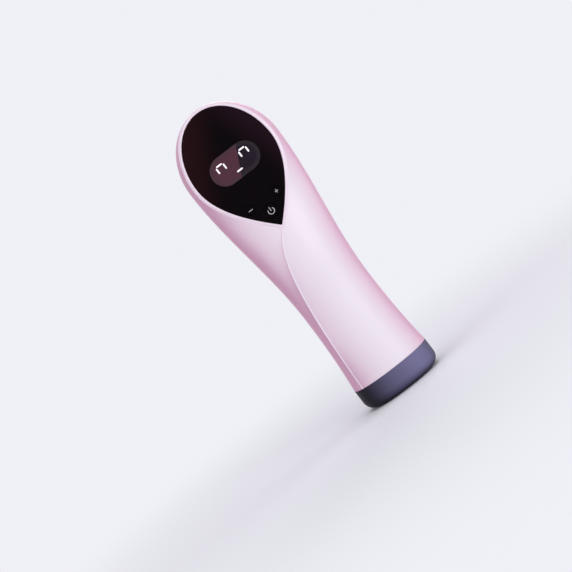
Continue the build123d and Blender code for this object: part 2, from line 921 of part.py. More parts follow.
tray_width = battery_width + 2 * (fit_gap + tray_wall)
tray_low = battery_low - fit_gap - tray_wall
with BuildPart() as battery_tray:
    with BuildSketch(at(tray_front - tray_lip)):
        with Locations((0, (tray_low + battery_high) / 2)):
            Rectangle(tray_width, battery_high - tray_low)
    extrude(amount=-(tray_lip + tray_wall))
    with BuildSketch(at(tray_front - tray_lip)):
        with Locations((0, (battery_low - fit_gap + battery_high) / 2)):
            Rectangle(battery_width + 2 * fit_gap, battery_high - battery_low + fit_gap)
    extrude(amount=-tray_lip, mode=Mode.SUBTRACT)
keep(battery_tray, "battery_tray")

# ---------------------------------------------------------------- probe
def foot(level, inset=0.0):
    """The section of the cap at a level, drawn in by inset."""
    return outline(cap_height, inset).moved(Location((0, 0, level - cap_height)))


def sleeve(low, high, outside, inside):
    """A ring that follows the inside of the shells between two heights."""
    with BuildPart() as ring:
        loft(sections=[outline(low, outside), outline(high, outside)])
        loft(sections=[outline(low, inside), outline(high, inside)], mode=Mode.SUBTRACT)
    return ring.part


spigot_outside = wall + fit_gap
spigot_inside = spigot_outside + spigot_wall
spigot_low = cap_height - cap_wall
spigot_part = sleeve(spigot_low, cap_height + spigot_height, spigot_outside, spigot_inside)
groove_floor = spigot_outside + seal_depth
seal_top = seal_level + seal_height
groove_part = sleeve(seal_level, seal_top, 0, groove_floor)

with BuildPart() as probe_hollow:
    extrude(foot(cap_floor, cap_wall), amount=cap_height, dir=(0, 0, 1))
    fillet(probe_hollow.faces().sort_by(Axis.Z)[0].edges(), cap_corner - cap_wall)

with BuildPart() as probe_housing:
    extrude(foot(0), amount=cap_height, dir=(0, 0, 1))
    fillet(probe_housing.faces().sort_by(Axis.Z)[0].edges(), cap_corner)
    add(probe_hollow.part, mode=Mode.SUBTRACT)
    add(spigot_part)
    add(groove_part, mode=Mode.SUBTRACT)
    extrude(foot(0, probe_window_inset), amount=cap_floor, dir=(0, 0, 1), mode=Mode.SUBTRACT)
keep(probe_housing, "probe_housing")

seal_part = sleeve(seal_level, seal_top, wall + seal_squeeze, groove_floor)
with BuildPart() as probe_seal:
    add(seal_part)
keep(probe_seal, "probe_seal")

with BuildPart() as acoustic_window:
    extrude(foot(0, probe_window_inset + fit_gap), amount=cap_floor, dir=(0, 0, 1))
    extrude(
        foot(cap_floor, probe_window_inset - probe_flange),
        amount=probe_flange_thickness,
        dir=(0, 0, 1),
    )
keep(acoustic_window, "acoustic_window")

with BuildPart() as transducer_crystals:
    with BuildSketch(Plane.XY.offset(probe_top)):
        Circle(crystal_radius)
        Rectangle(crystal_split, 2 * crystal_radius, mode=Mode.SUBTRACT)
    extrude(amount=crystal_thickness)
keep(transducer_crystals, "transducer_crystals")

with BuildPart() as backing_block:
    with BuildSketch(Plane.XY.offset(crystal_top)):
        Circle(backing_radius)
    extrude(amount=backing_height)
keep(backing_block, "backing_block")

# ---------------------------------------------------------------- wires
contact_end = body_front - contact_tail
# each wire's contact, the side it goes to and the height where it turns down
socket_runs = [
    (-contact_offset, socket_level, -7.0, 75.0),
    (contact_offset, socket_level, 6.4, 75.0),
    (0, socket_level - contact_offset, 4.9, 74.6),
]
socket_lead_parts = [
    lead(
        [
            (x, contact_end, z),
            (x, contact_end - lead_stand, z),
            (side, contact_end - lead_stand, low),
            (side, contact_end - lead_stand, lead_level),
            (side, board_back, lead_level),
        ]
    )
    for x, z, side, low in socket_runs
]
with BuildPart() as socket_leads:
    add(socket_lead_parts)
keep(socket_leads, "socket_leads")

speaker_lead_parts = [
    lead(
        [
            (x, speaker_front, speaker_tag_level),
            (x, speaker_front - speaker_lead_drop, speaker_tag_level),
            (x, board_back + speaker_lead_height, speaker_lead_bend),
            (x, board_back + lead_height, lead_level),
            (x, board_back, lead_level),
        ]
    )
    for x in (speaker_lead_offset, speaker_lead_offset + lead_pitch)
]
with BuildPart() as speaker_leads:
    add(speaker_lead_parts)
keep(speaker_leads, "speaker_leads")

battery_lead_depth = battery_front + battery_thickness / 2
battery_lead_level = (battery_high + board_high) / 2
battery_lead_parts = [
    lead(
        [
            (x, battery_lead_depth, battery_high),
            (x, battery_lead_depth, battery_lead_level),
            (x, board_back, battery_lead_level),
        ]
    )
    for x in (-battery_lead_offset, -battery_lead_offset - lead_pitch)
]
with BuildPart() as battery_leads:
    add(battery_lead_parts)
keep(battery_leads, "battery_leads")

probe_lead_depth = board_back + lead_height
probe_lead_level = board_low + probe_lead_inset
probe_lead_parts = [
    lead(
        [
            (x, probe_lead_depth, backing_top),
            (x, probe_lead_depth, probe_lead_level),
            (x, board_back, probe_lead_level),
        ]
    )
    for x in probe_lead_spread
]
with BuildPart() as probe_leads:
    add(probe_lead_parts)
keep(probe_leads, "probe_leads")
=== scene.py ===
# %% [markdown]
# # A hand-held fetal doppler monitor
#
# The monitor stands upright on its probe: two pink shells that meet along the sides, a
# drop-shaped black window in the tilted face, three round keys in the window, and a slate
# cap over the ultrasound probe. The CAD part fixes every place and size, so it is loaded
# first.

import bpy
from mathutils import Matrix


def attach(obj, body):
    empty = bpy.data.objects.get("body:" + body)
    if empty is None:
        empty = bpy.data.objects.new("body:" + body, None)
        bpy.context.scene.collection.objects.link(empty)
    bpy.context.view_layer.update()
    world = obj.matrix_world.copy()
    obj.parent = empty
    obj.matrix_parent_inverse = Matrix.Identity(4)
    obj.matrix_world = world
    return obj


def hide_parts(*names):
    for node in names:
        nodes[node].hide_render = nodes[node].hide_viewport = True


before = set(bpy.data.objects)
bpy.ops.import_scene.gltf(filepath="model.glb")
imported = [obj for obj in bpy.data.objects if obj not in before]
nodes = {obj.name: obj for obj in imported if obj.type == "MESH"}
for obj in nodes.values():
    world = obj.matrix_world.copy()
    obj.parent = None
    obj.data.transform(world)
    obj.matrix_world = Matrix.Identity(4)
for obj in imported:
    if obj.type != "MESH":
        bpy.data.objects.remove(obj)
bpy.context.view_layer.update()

from math import asin, cos, exp, pi, radians, sin, sqrt, tan

import bmesh
import bpy
import numpy as np
from mathutils import Matrix, Vector

mm = 0.001  # lengths are worked out in millimetres, and Blender's unit is the metre

# %% [markdown]
# ## Camera
#
# The monitor is looked at straight from the front, from a hand's length over half a metre
# away, and the picture is turned so that the monitor leans to the left. Its middle sits a
# little above and to the right of the picture's centre, so the camera is aimed past it
# instead of using lens shift. The turn is made in two steps: roll about the line to the
# monitor, then swing the axis so that the line falls on the wanted pixel.

# %% Camera
picture = 572  # pixels, both ways
focal = 1530.0  # focal length in pixels
sensor = 36.0
aim = Vector((0, 0, 70 * mm))
aim_pixel = (300.6, 248.9)
camera_distance = 620.6 * mm
camera_elevation = radians(2.0)
camera_roll = radians(-37.5)

back = Vector((0, -cos(camera_elevation), sin(camera_elevation)))
forward = -back
level = forward.cross(Vector((0, 0, 1))).normalized()
upright = level.cross(forward)
right_axis = cos(camera_roll) * level + sin(camera_roll) * upright
up_axis = -sin(camera_roll) * level + cos(camera_roll) * upright
to_aim = Vector((aim_pixel[0] - picture / 2, picture / 2 - aim_pixel[1], focal)).normalized()
swing = Vector((0, 0, 1)).rotation_difference(to_aim).to_matrix()
axes = swing @ Matrix((right_axis, up_axis, forward))

camera_data = bpy.data.cameras.new("camera")
camera_data.sensor_width = sensor
camera_data.lens = focal * sensor / picture
camera_data.clip_start, camera_data.clip_end = 0.01, 20
camera = bpy.data.objects.new("camera", camera_data)
bpy.context.scene.collection.objects.link(camera)
turned = Matrix((axes[0], axes[1], -axes[2])).transposed()
camera.matrix_world = Matrix.Translation(aim + back * camera_distance) @ turned.to_4x4()
bpy.context.scene.camera = camera
print("lens in mm:", round(camera_data.lens, 2), "place:", [round(x, 4) for x in camera.location])

# %% [markdown]
# ## Floor, background and light
#
# The monitor stands on a plain pale floor under soft studio light. The floor could be lit
# until it turns white, but the same light would bleach the pink shells. So the floor keeps
# a pale colour of its own near the monitor, where it catches the soft shadow, and further
# out it fades into the same pale tone as the world behind it. The largest soft lamp stands
# in front and to the right. Weaker ones stand at the right side, on the left, behind and
# above, so that no side of the monitor goes dark and its edges stay clear of the floor.

# %% Floor and background
paper = (0.87, 0.87, 0.93)  # the pale tone of floor and background


def node_tree(owner):
    owner.use_nodes = True
    owner.node_tree.nodes.clear()
    return owner.node_tree


def add_node(tree, kind, inputs=None, **settings):
    """A shader node; inputs are values or the sockets that feed them."""
    node = tree.nodes.new("ShaderNode" + kind)
    for key, value in settings.items():
        setattr(node, key, value)
    for key, value in (inputs or {}).items():
        if isinstance(value, bpy.types.NodeSocket):
            tree.links.new(value, node.inputs[key])
        else:
            node.inputs[key].default_value = value
    return node


def maths(tree, operation, *values):
    """The result of a Math node on numbers or sockets."""
    return add_node(tree, "Math", dict(enumerate(values)), operation=operation).outputs[0]


def ramp(tree, value, start, full, low=0.0, high=1.0, soft=False):
    """A value carried from the range start to full over to the range low to high."""
    return add_node(
        tree, "MapRange",
        {"Value": value, "From Min": start, "From Max": full, "To Min": low, "To Max": high},
        interpolation_type="SMOOTHSTEP" if soft else "LINEAR",
    ).outputs[0]


def seen_plainly(tree):
    """1 for what the camera, a reflection or a view through glass shows, and 0 for light."""
    path = add_node(tree, "LightPath").outputs
    seen = maths(tree, "MAXIMUM", path["Is Camera Ray"], path["Is Glossy Ray"])
    return maths(tree, "MAXIMUM", seen, path["Is Transmission Ray"])


world = bpy.data.worlds.new("studio")
bpy.context.scene.world = world
tree = node_tree(world)
room = add_node(tree, "Background", {"Color": (0.93, 0.93, 1.0, 1), "Strength": 0.42})
paper_sky = add_node(tree, "Background", {"Color": (*paper, 1), "Strength": 1.0})
mixed = add_node(
    tree, "MixShader", {0: seen_plainly(tree), 1: room.outputs[0], 2: paper_sky.outputs[0]}
)
add_node(tree, "OutputWorld", {"Surface": mixed.outputs[0]})

floor_mesh = bpy.data.meshes.new("floor")
floor_half = 3.0  # in metres
fade_start, fade_end = 0.03, 0.30  # distance from the monitor at which the floor fades
floor_mesh.from_pydata(
    [(x * floor_half, y * floor_half, 0) for x, y in ((-1, -1), (1, -1), (1, 1), (-1, 1))],
    [],
    [(0, 1, 2, 3)],
)
floor = bpy.data.objects.new("floor", floor_mesh)
bpy.context.scene.collection.objects.link(floor)

floor_paper = bpy.data.materials.new("floor_paper")
tree = node_tree(floor_paper)
place = add_node(tree, "TexCoord").outputs["Object"]
fibre = add_node(tree, "TexNoise", {"Vector": place, "Scale": 900.0, "Detail": 3.0})
tone = add_node(
    tree, "MixRGB",
    {0: fibre.outputs["Fac"], 1: (0.91, 0.91, 0.95, 1), 2: (0.94, 0.94, 0.98, 1)},
)
sheet = add_node(tree, "BsdfDiffuse", {"Color": tone.outputs[0]})
glow = add_node(tree, "Emission", {"Color": (*paper, 1), "Strength": 1.0})
away = add_node(tree, "VectorMath", {0: place}, operation="LENGTH")
fade = ramp(tree, away.outputs["Value"], fade_start, fade_end, soft=True)
share = maths(tree, "MULTIPLY", fade, seen_plainly(tree))
mixed = add_node(tree, "MixShader", {0: share, 1: sheet.outputs[0], 2: glow.outputs[0]})
add_node(tree, "OutputMaterial", {"Surface": mixed.outputs[0]})
floor_mesh.materials.append(floor_paper)
print("floor of", 2 * floor_half, "m")


# %% Soft lamps
def soft_lamp(name, place, target, size, power):
    """A square soft box that faces the target; place and target in metres."""
    data = bpy.data.lights.new(name, "AREA")
    data.shape, data.size, data.energy = "SQUARE", size, power
    lamp = bpy.data.objects.new(name, data)
    bpy.context.scene.collection.objects.link(lamp)
    lamp.location = place
    lamp.rotation_euler = (Vector(target) - Vector(place)).to_track_quat("-Z", "Y").to_euler()
    return lamp


middle = (0, 0, 0.07)
soft_lamp("lamp_right", (0.42, -0.80, 0.25), middle, 0.55, 3.0)
soft_lamp("lamp_side", (0.85, 0.15, 0.22), middle, 0.50, 1.1)
soft_lamp("lamp_left", (-0.75, -0.45, 0.30), middle, 0.50, 0.85)
soft_lamp("lamp_behind", (0.15, 0.75, 0.55), middle, 0.50, 1.9)
soft_lamp("lamp_above", (0.0, -0.1, 1.0), middle, 0.70, 2.0)
bpy.context.scene.view_settings.view_transform = "Standard"

# %% [markdown]
# ## Finishes
#
# Moulded plastic is never one flat colour: the pigment drifts a little, the tool's surface
# leaves a fine grain, and gloss changes with handling. One helper builds that for every
# finish out of two noise textures, a broad one that shifts the colour and the gloss and a
# fine one that gives the grain as bump. Painting the noise by hand would take longer and
# show seams, and a picture would blur close up.


# %% The plain finish that most pieces share
def finish(name, colour, rough, grain=(1800, 0.02), drift=0.05, rough_drift=0.04, **constants):
    """A Principled material with drifting colour and gloss; grain is scale per metre and mm."""
    made = bpy.data.materials.new(name)
    tree = node_tree(made)
    place = add_node(tree, "TexCoord").outputs["Object"]
    broad = add_node(tree, "TexNoise", {"Vector": place, "Scale": 90.0, "Detail": 4.0})
    fine = add_node(tree, "TexNoise", {"Vector": place, "Scale": float(grain[0]), "Detail": 3.0})
    colour_mix = add_node(
        tree, "MixRGB",
        {
            0: broad.outputs["Fac"],
            1: (*[min(c * (1 - drift), 1) for c in colour], 1),
            2: (*[min(c * (1 + drift), 1) for c in colour], 1),
        },
    )
    gloss = ramp(tree, broad.outputs["Fac"], 0.0, 1.0, rough - rough_drift, rough + rough_drift)
    bump = add_node(
        tree, "Bump", {"Height": fine.outputs["Fac"], "Strength": 0.6, "Distance": grain[1] * mm}
    )
    surface = add_node(
        tree, "BsdfPrincipled",
        {
            "Base Color": colour_mix.outputs[0],
            "Roughness": gloss,
            "Normal": bump.outputs[0],
            **constants,
        },
    )
    surface.name = "surface"
    add_node(tree, "OutputMaterial", {"Surface": surface.outputs[0]})
    return made


def lay_over(tree, share, colour):
    """Mix a colour over what a finish has so far, by a share of 0 to 1."""
    base = tree.nodes["surface"].inputs["Base Color"]
    before = base.links[0].from_socket
    mixed = add_node(tree, "MixRGB", {0: share, 1: before, 2: (*colour, 1)})
    tree.links.new(mixed.outputs[0], base)


def dot(tree, first, second):
    """The dot product of two vectors, either of which may be a socket."""
    return add_node(
        tree, "VectorMath", {0: first, 1: second}, operation="DOT_PRODUCT"
    ).outputs["Value"]


flank = 0.3  # the front's painted highlight passes into the back's between this and its negative


# painted highlight: a paler colour laid on by the surface's facing, standing in for a large lamp's
# sheen
def paint_highlight(material, colour, front_share, back_share, fall, light_way):
    """Paint a paler colour over a finish as a painted highlight, strongest on what faces the light's
    way or faces away.
    """
    tree = material.node_tree
    facing = dot(tree, add_node(tree, "TexCoord").outputs["Normal"], light_way)
    highlight_amount = maths(tree, "POWER", maths(tree, "ABSOLUTE", facing), fall)
    share = ramp(tree, facing, -flank, flank, back_share, front_share)
    lay_over(tree, maths(tree, "MULTIPLY", highlight_amount, share), colour)


def level_light(turn):
    """The level direction that the painted highlight seems lit from: the front, turned to the right.
    """
    return (sin(turn), -cos(turn), 0)


# %% [markdown]
# ### The plastics and their painted highlights
#
# The shells are lilac-pink plastic with a soft sheen. Over it a paler colour is painted as a
# highlight, strongest on what faces the front and a little to the right and weaker on the back,
# so that the deeper pink shows at the flanks, as a large soft lamp there would light it. A
# paler share painted on what faces up stands for light falling on the crown from above. The
# surface's own direction gives each share, so the painted light stays the same from every
# side. The slate cap gets the same kind of painted highlight, which leaves its flanks near
# black as painted shade. The bead around the window and the line that runs on from it are
# painted a shade lighter, a painted highlight along their crest. That lighter shade follows a
# value stored on the mesh, because the bead has no edge of its own.
#
# The window is nearly black plastic with a trace of red painted towards two of its sides, a
# painted reflection. Each tint grows with the distance across the face, so it needs no edge.

# %% Pink shell, slate cap and black window
finishes = {}
pink = finish(
    "pink_shell", (0.65, 0.27, 0.44), 0.42, (2600, 0.004), 0.02,
    **{"Coat Weight": 0.35, "Coat Roughness": 0.40},
)
highlight_white = (0.95, 0.92, 0.97)
# painted highlight: paler on what faces the front and a little right, less on the back
paint_highlight(pink, highlight_white, 0.84, 0.48, 2.2, level_light(radians(8)))
# painted light from above: what faces up is painted paler
paint_highlight(pink, highlight_white, 0.40, 0.0, 2.0, (0, 0, 1))
# painted highlight: the bead around the window and the ridge line are painted paler by a value stored
# on the mesh
bead_highlight = add_node(pink.node_tree, "Attribute", attribute_name="bead_highlight")
lay_over(pink.node_tree, bead_highlight.outputs["Fac"], (0.92, 0.78, 0.88))
finishes["pink_shell"] = pink
slate = finish(
    "slate_cap", (0.013, 0.010, 0.017), 0.45, (5000, 0.012), 0.06, **{"Specular IOR Level": 0.08}
)
# painted highlight: bluish grey on what faces front and right; the near-black base left at the flanks
# is painted shade
paint_highlight(slate, (0.195, 0.185, 0.33), 0.95, 0.95, 2.6, level_light(radians(29)))
finishes["slate_cap"] = slate
lens = finish(
    "black_window", (0.0022, 0.0008, 0.0018), 0.06, (700, 0.0005), 0.2, 0.02,
    **{"Specular IOR Level": 0.04},
)
tree = lens.node_tree
place = add_node(tree, "TexCoord").outputs["Object"]
# painted reflection: reddish tints towards two sides of the window
lens_painted_reflections = (
    # direction across the face, where the tint starts and is full in metres, colour
    ((-1, 0, 0.6), 0.073, 0.090, (0.016, 0.0036, 0.0048)),
    ((1, 0, 0.3), 0.040, 0.054, (0.014, 0.0042, 0.009)),
)
for direction, start, full, tint in lens_painted_reflections:
    lay_over(tree, ramp(tree, dot(tree, place, direction), start, full, soft=True), tint)
finishes["black_window"] = lens

# %% [markdown]
# ### Display
#
# The pill-shaped display sits behind tinted film. Its left part is painted reddish brown and
# its right part bluish black, with a straight slanted edge between them: a painted reflection
# with a straight edge. The edge is worked out from the place on the film, so it stays where it
# is from every side. A narrow border runs round the pill, a shade greyer, where the film is
# glued down: it is what lies furthest from the straight line between the pill's two round
# ends. The lit bars glow a plain white.

# %% Display finishes
film = finish(
    "tinted_filter", (0.020, 0.012, 0.022), 0.10, (700, 0.0005), 0.1, 0.03,
    **{"Specular IOR Level": 0.05},
)
tree = film.node_tree
place = add_node(tree, "TexCoord").outputs["Object"]
tilt = radians(10)  # of the face, from upright
film_level = 113.2  # height of the film's middle
pill_width, pill_high = 22.3, 12.6
across = (-12.5, 0, 6.2)  # square to the slanted edge
along_edge = Vector((4.9, 0, 119.5))  # a point on that edge
edge_value = along_edge.dot(Vector(across)) * mm
edge_blur = 0.002  # of the dot product, to each side
border_start, border_full, border_share = 4.2, 5.2, 0.35
side = dot(tree, place, across)
# painted reflection: the part of the film on one side of a slanted edge is painted reddish
painted_reflection = ramp(tree, side, edge_value - edge_blur, edge_value + edge_blur)
lay_over(tree, painted_reflection, (0.090, 0.034, 0.050))
spot = add_node(tree, "SeparateXYZ", {0: place}).outputs
past_end = maths(
    tree, "SUBTRACT", maths(tree, "ABSOLUTE", spot["X"]), (pill_width - pill_high) / 2 * mm
)
up_film = maths(
    tree, "DIVIDE", maths(tree, "SUBTRACT", spot["Z"], film_level * mm), cos(tilt)
)
from_line = add_node(
    tree, "CombineXYZ", {0: maths(tree, "MAXIMUM", past_end, 0.0), 1: up_film, 2: 0.0}
)
away = add_node(tree, "VectorMath", {0: from_line.outputs[0]}, operation="LENGTH")
border = ramp(
    tree, away.outputs["Value"], border_start * mm, border_full * mm, 0.0, border_share, soft=True
)
lay_over(tree, border, (0.045, 0.040, 0.042))
finishes["tinted_filter"] = film
finishes["lit_bars"] = finish(
    "lit_bars", (0.35, 0.33, 0.35), 0.4, (900, 0.001), 0.02,
    **{"Emission Color": (1.0, 0.93, 0.96, 1), "Emission Strength": 0.80},
)
finishes["display_glass"] = finish("display_glass", (0.02, 0.02, 0.025), 0.05, (700, 0.0005))
finishes["white_diffuser"] = finish("white_diffuser", (0.85, 0.85, 0.85), 0.5)
print("finishes so far:", sorted(finishes))

# %% [markdown]
# ### Finishes inside
#
# The pieces inside can't be seen with the case closed, but they show when a shell is taken
# away. Each gets its own colour, gloss and grain: lacquered boards, drawn metal, foam with
# coarse cells and soft wire sleeves.

# %% Finishes inside
metal = {"Metallic": 1.0}
inside = {
    "circuit_board": ((0.015, 0.10, 0.045), 0.35, (1500, 0.02), 0.25, {}),
    "black_plastic": ((0.02, 0.02, 0.022), 0.50, (3500, 0.02), 0.2, {}),
    "white_nylon": ((0.78, 0.77, 0.76), 0.45, (2500, 0.01), 0.04, {}),
    "amber_film": ((0.42, 0.18, 0.03), 0.30, (900, 0.01), 0.15, {}),
    "steel": ((0.62, 0.62, 0.64), 0.28, (2500, 0.008), 0.08, metal),
    "grey_foam": ((0.16, 0.16, 0.17), 0.90, (2200, 0.15), 0.3, {}),
    "black_paper": ((0.018, 0.018, 0.018), 0.80, (3000, 0.05), 0.3, {}),
    "copper": ((0.80, 0.42, 0.28), 0.30, (2500, 0.008), 0.12, metal),
    "magnet_steel": ((0.30, 0.30, 0.32), 0.38, (2000, 0.01), 0.1, metal),
    "dark_mesh": ((0.010, 0.006, 0.009), 0.75, (3200, 0.12), 0.4, {}),
    "nickel": ((0.50, 0.47, 0.50), 0.16, (1500, 0.004), 0.06, metal),
    "battery_wrap": ((0.10, 0.16, 0.30), 0.35, (1200, 0.02), 0.1, {}),
    "wire_sleeve": ((0.30, 0.03, 0.03), 0.45, (2500, 0.01), 0.15, {}),
    "seal_rubber": ((0.03, 0.03, 0.032), 0.70, (2500, 0.02), 0.2, {}),
    "acoustic_lens": ((0.16, 0.16, 0.19), 0.45, (2500, 0.01), 0.06, {}),
    "ceramic": ((0.70, 0.62, 0.48), 0.40, (2500, 0.01), 0.06, {}),
    "backing_epoxy": ((0.05, 0.05, 0.055), 0.55, (1500, 0.03), 0.3, {}),
}
for name, (colour, rough, grain, drift, constants) in inside.items():
    finishes[name] = finish(name, colour, rough, grain, drift, **constants)
for node in nodes.values():
    for i, material in enumerate(node.data.materials):
        node.data.materials[i] = finishes[material.name.split(".")[0]]
print(len(finishes), "finishes on", len(nodes), "CAD pieces")

# %% [markdown]
# ## Front shell
#
# The front shell is one moulding: the tilted flat land with a raised bead around the window,
# the pocket behind it, the smooth flanks, and the ridge that runs on from the window's tip
# to the cap. Subdivision modelling would give soft flanks but lose the exact drop outline,
# and the CAD mesh is made of long thin triangles that mirror badly. So the skin is laid out
# row by row from the same sizes as the part: every row runs from the window's edge, or from
# the ridge below it, round to the seam, with close columns where the surface bends fast.

# %% Sizes of the shells
height = 140.0
head_level, head_half_width, head_back_depth = 114.0, 22.1, 16.2
waist_level, waist_half_width, waist_front_depth = 46.0, 16.05, 14.4
back_waist_level, waist_back_depth = 56.0, 12.6
cap_height, foot_half_width, foot_depth = 10.5, 17.9, 15.0
roundness, handle_flare, back_flare = 2.2, 2.2, 1.8
wall = 2.0
tip_level, face_depth_at_tip = 82.6, 13.4
drop_half_width, drop_flank, drop_crown = 18.6, 32.0, 24.7
land_margin, rim_height = 1.45, 0.5
crease_offset, crease_onset, crease_fade = 18.0, 6.0, 26.0
crease_lift, crease_lift_power, crease_dip = 0.35, 2.2, 0.25
bead_height, bead_half_width = 0.24, 0.5  # the soft bead along the ridge
tip_lean, tip_run = 1.25, 1.5  # the land's tip leans over to the ridge
face_up = np.array((0, sin(tilt), cos(tilt)))
face_out = np.array((0, -cos(tilt), sin(tilt)))
face_origin = np.array((0, -face_depth_at_tip, tip_level))
land_tip = tip_level - land_margin * sqrt(2) * cos(tilt)
tip_drop = tip_level - land_tip
tip_ease = tip_drop * crease_offset / (tip_drop + crease_offset) - tip_lean
power = 2 / roundness


def ease(share):
    """Smooth step from 0 to 1."""
    share = min(max(share, 0), 1)
    return share * share * (3 - 2 * share)


def crown_share(z):
    return sqrt(max(1 - ((z - head_level) / (height - head_level)) ** 2, 0))


def half_width(z):
    if z > head_level:
        return head_half_width * crown_share(z)
    if z > waist_level:
        rise = ease((z - waist_level) / (head_level - waist_level))
        return waist_half_width + (head_half_width - waist_half_width) * rise
    drop = (waist_level - z) / (waist_level - cap_height)
    return waist_half_width + (foot_half_width - waist_half_width) * drop**handle_flare


def back_depth(z):
    if z > head_level:
        return head_back_depth * crown_share(z)
    if z > back_waist_level:
        rise = ease((z - back_waist_level) / (head_level - back_waist_level))
        return waist_back_depth + (head_back_depth - waist_back_depth) * rise
    drop = (back_waist_level - z) / (back_waist_level - cap_height)
    return waist_back_depth + (foot_depth - waist_back_depth) * drop**back_flare


def face_depth(z):
    return face_depth_at_tip - (z - tip_level) * tan(tilt)


def plain_share(share):
    """Depth of a superellipse at a sideways share of its width."""
    return max(1 - min(share, 1) ** roundness, 0) ** (1 / roundness)


print("width at the waist and the head:", 2 * half_width(waist_level), 2 * half_width(head_level))


# %% The drop on the face, and points on the face
def drop_point(along, grow):
    """A point of the drop grown by a margin: along 0 to 1 is the flank, 1 to 2 the crown."""
    tip = -grow * sqrt(2)
    half, top = drop_half_width + grow, drop_crown + grow
    if along <= 1:
        rise, s = drop_flank - tip, along
        return (s**3 - 2 * s**2 + s) * rise + (3 * s**2 - 2 * s**3) * half, tip + rise * s
    turn = (along - 1) * pi / 2
    return half * cos(turn), drop_flank + top * sin(turn)


def on_face(x, up, out=0.0):
    """The place in the row frame, in millimetres, of a point on the tilted face."""
    return face_origin + np.array((x, 0, 0)) + up * face_up + out * face_out


def front_depth(z):
    """Depth of the section; above the tip it passes through the land's edge."""
    if z > land_tip:
        edge_x = land_reach(z)
        return face_depth(z) / plain_share(edge_x / half_width(z))
    if z > waist_level:
        run = land_tip - waist_level
        s = (z - waist_level) / run
        belly = (3 * s**2 - 2 * s**3) * (face_depth(land_tip) - waist_front_depth)
        return waist_front_depth + belly - (s**3 - s**2) * run * tan(tilt)
    drop = (waist_level - z) / (waist_level - cap_height)
    return waist_front_depth + (foot_depth - waist_front_depth) * drop**handle_flare


def land_reach(z):
    """Half width of the land where its plane crosses the height z."""
    up = (z - tip_level) / cos(tilt)
    tip = -land_margin * sqrt(2)
    if up >= drop_flank:
        turn = asin(min((up - drop_flank) / (drop_crown + land_margin), 1))
        return drop_point(1 + turn / (pi / 2), land_margin)[0]
    return drop_point((up - tip) / (drop_flank - tip), land_margin)[0]


def crease_x(z):
    """Distance of the ridge to the left of the middle."""
    below = tip_level - z
    return below * crease_offset / (below + crease_offset) - tip_ease * exp(-(land_tip - z) / 2)


def crease_strength(z):
    return (1 - exp(-(land_tip - z) / crease_onset)) * ease((z - cap_height) / crease_fade)


def lifted_share(share, strength):
    return plain_share(share) + strength * (
        1 - crease_lift * share**crease_lift_power - plain_share(share)
    )


print("top of the land:", [round(float(v), 2) for v in on_face(*drop_point(2, land_margin))])

# %% [markdown]
# Each half row is first drawn as a fine line, then divided by its own length: close columns
# beside the window's edge or the ridge, even ones over the flank, and a small rounding of
# 0.15 mm where the shell ends at the seam. Dividing by angle instead would stretch some
# faces to slivers.

# %% One half row of the skin
fine_steps = 240
close_columns = (0, 0.09, 0.18, 0.27, 0.37, 0.48, 0.6, 0.78, 1.05, 1.4, 1.9, 2.6, 3.5)
flank_columns = 30
seam_round = 0.15


def rounded(before, corner, after):
    """Two points that round a corner between two others."""
    return [
        (1 - t) ** 2 * before + 2 * t * (1 - t) * corner + t * t * after for t in (1 / 3, 2 / 3)
    ]


def section_depth(z, x):
    """Depth of the front at a place across it: plain, or drawn up to and down from the ridge."""
    width = half_width(z)
    share = abs(x) / width
    if z >= land_tip or x >= 0:
        return plain_share(share)
    crease, strength = crease_x(z) / width, crease_strength(z)
    if share <= crease:
        return lifted_share(share, strength)
    along = (share - crease) / (1 - crease)
    lift = lifted_share(crease, strength) / plain_share(crease)
    return lift * plain_share(share) * (1 - crease_dip * strength * along * (1 - along) ** 2)


def half_section(z, side, start_x):
    """The fine line at height z from start_x to the seam; side is 1 or -1."""
    width, front = half_width(z), front_depth(z)
    turn = asin(min(abs(start_x) / width, 1) ** (roundness / 2))
    angles = np.linspace(turn if start_x * side > 0 else -turn, pi / 2, fine_steps)
    across = [side * width * abs(sin(a)) ** power * (1 if a > 0 else -1) for a in angles]
    return np.array([(x, -front * section_depth(z, x), z) for x in across])


def half_row(z, side, start_x):
    """Points from the window's edge or the ridge to the seam, their distances, and the line."""
    line = half_section(z, side, start_x)
    steps = np.concatenate(([0], np.cumsum(np.linalg.norm(np.diff(line, axis=0), axis=1))))
    length = steps[-1]
    close = np.array(close_columns) * min(1, length / 12)
    small = min(seam_round, length / 12)
    even = np.linspace(close[-1], length - small, flank_columns + 1)[1:]
    columns = np.concatenate((close, even))
    points = np.array([np.interp(columns, steps, line[:, k]) for k in range(3)]).T
    corner = line[-1]
    after = corner * (1 - small / max(half_width(z), small), 1, 1)
    points = np.vstack([points, rounded(points[-1], corner, after), after[None]])
    return points, columns, line


print("columns in a half row:", len(half_row(60.0, 1, 0)[0]))

# %% [markdown]
# The bead around the window has a half-round profile, one millimetre wide and half a
# millimetre high, and it runs on down the ridge as a lower and softer one. Where the two
# meet, at the tip, the flat land is lifted so that one flows into the other.

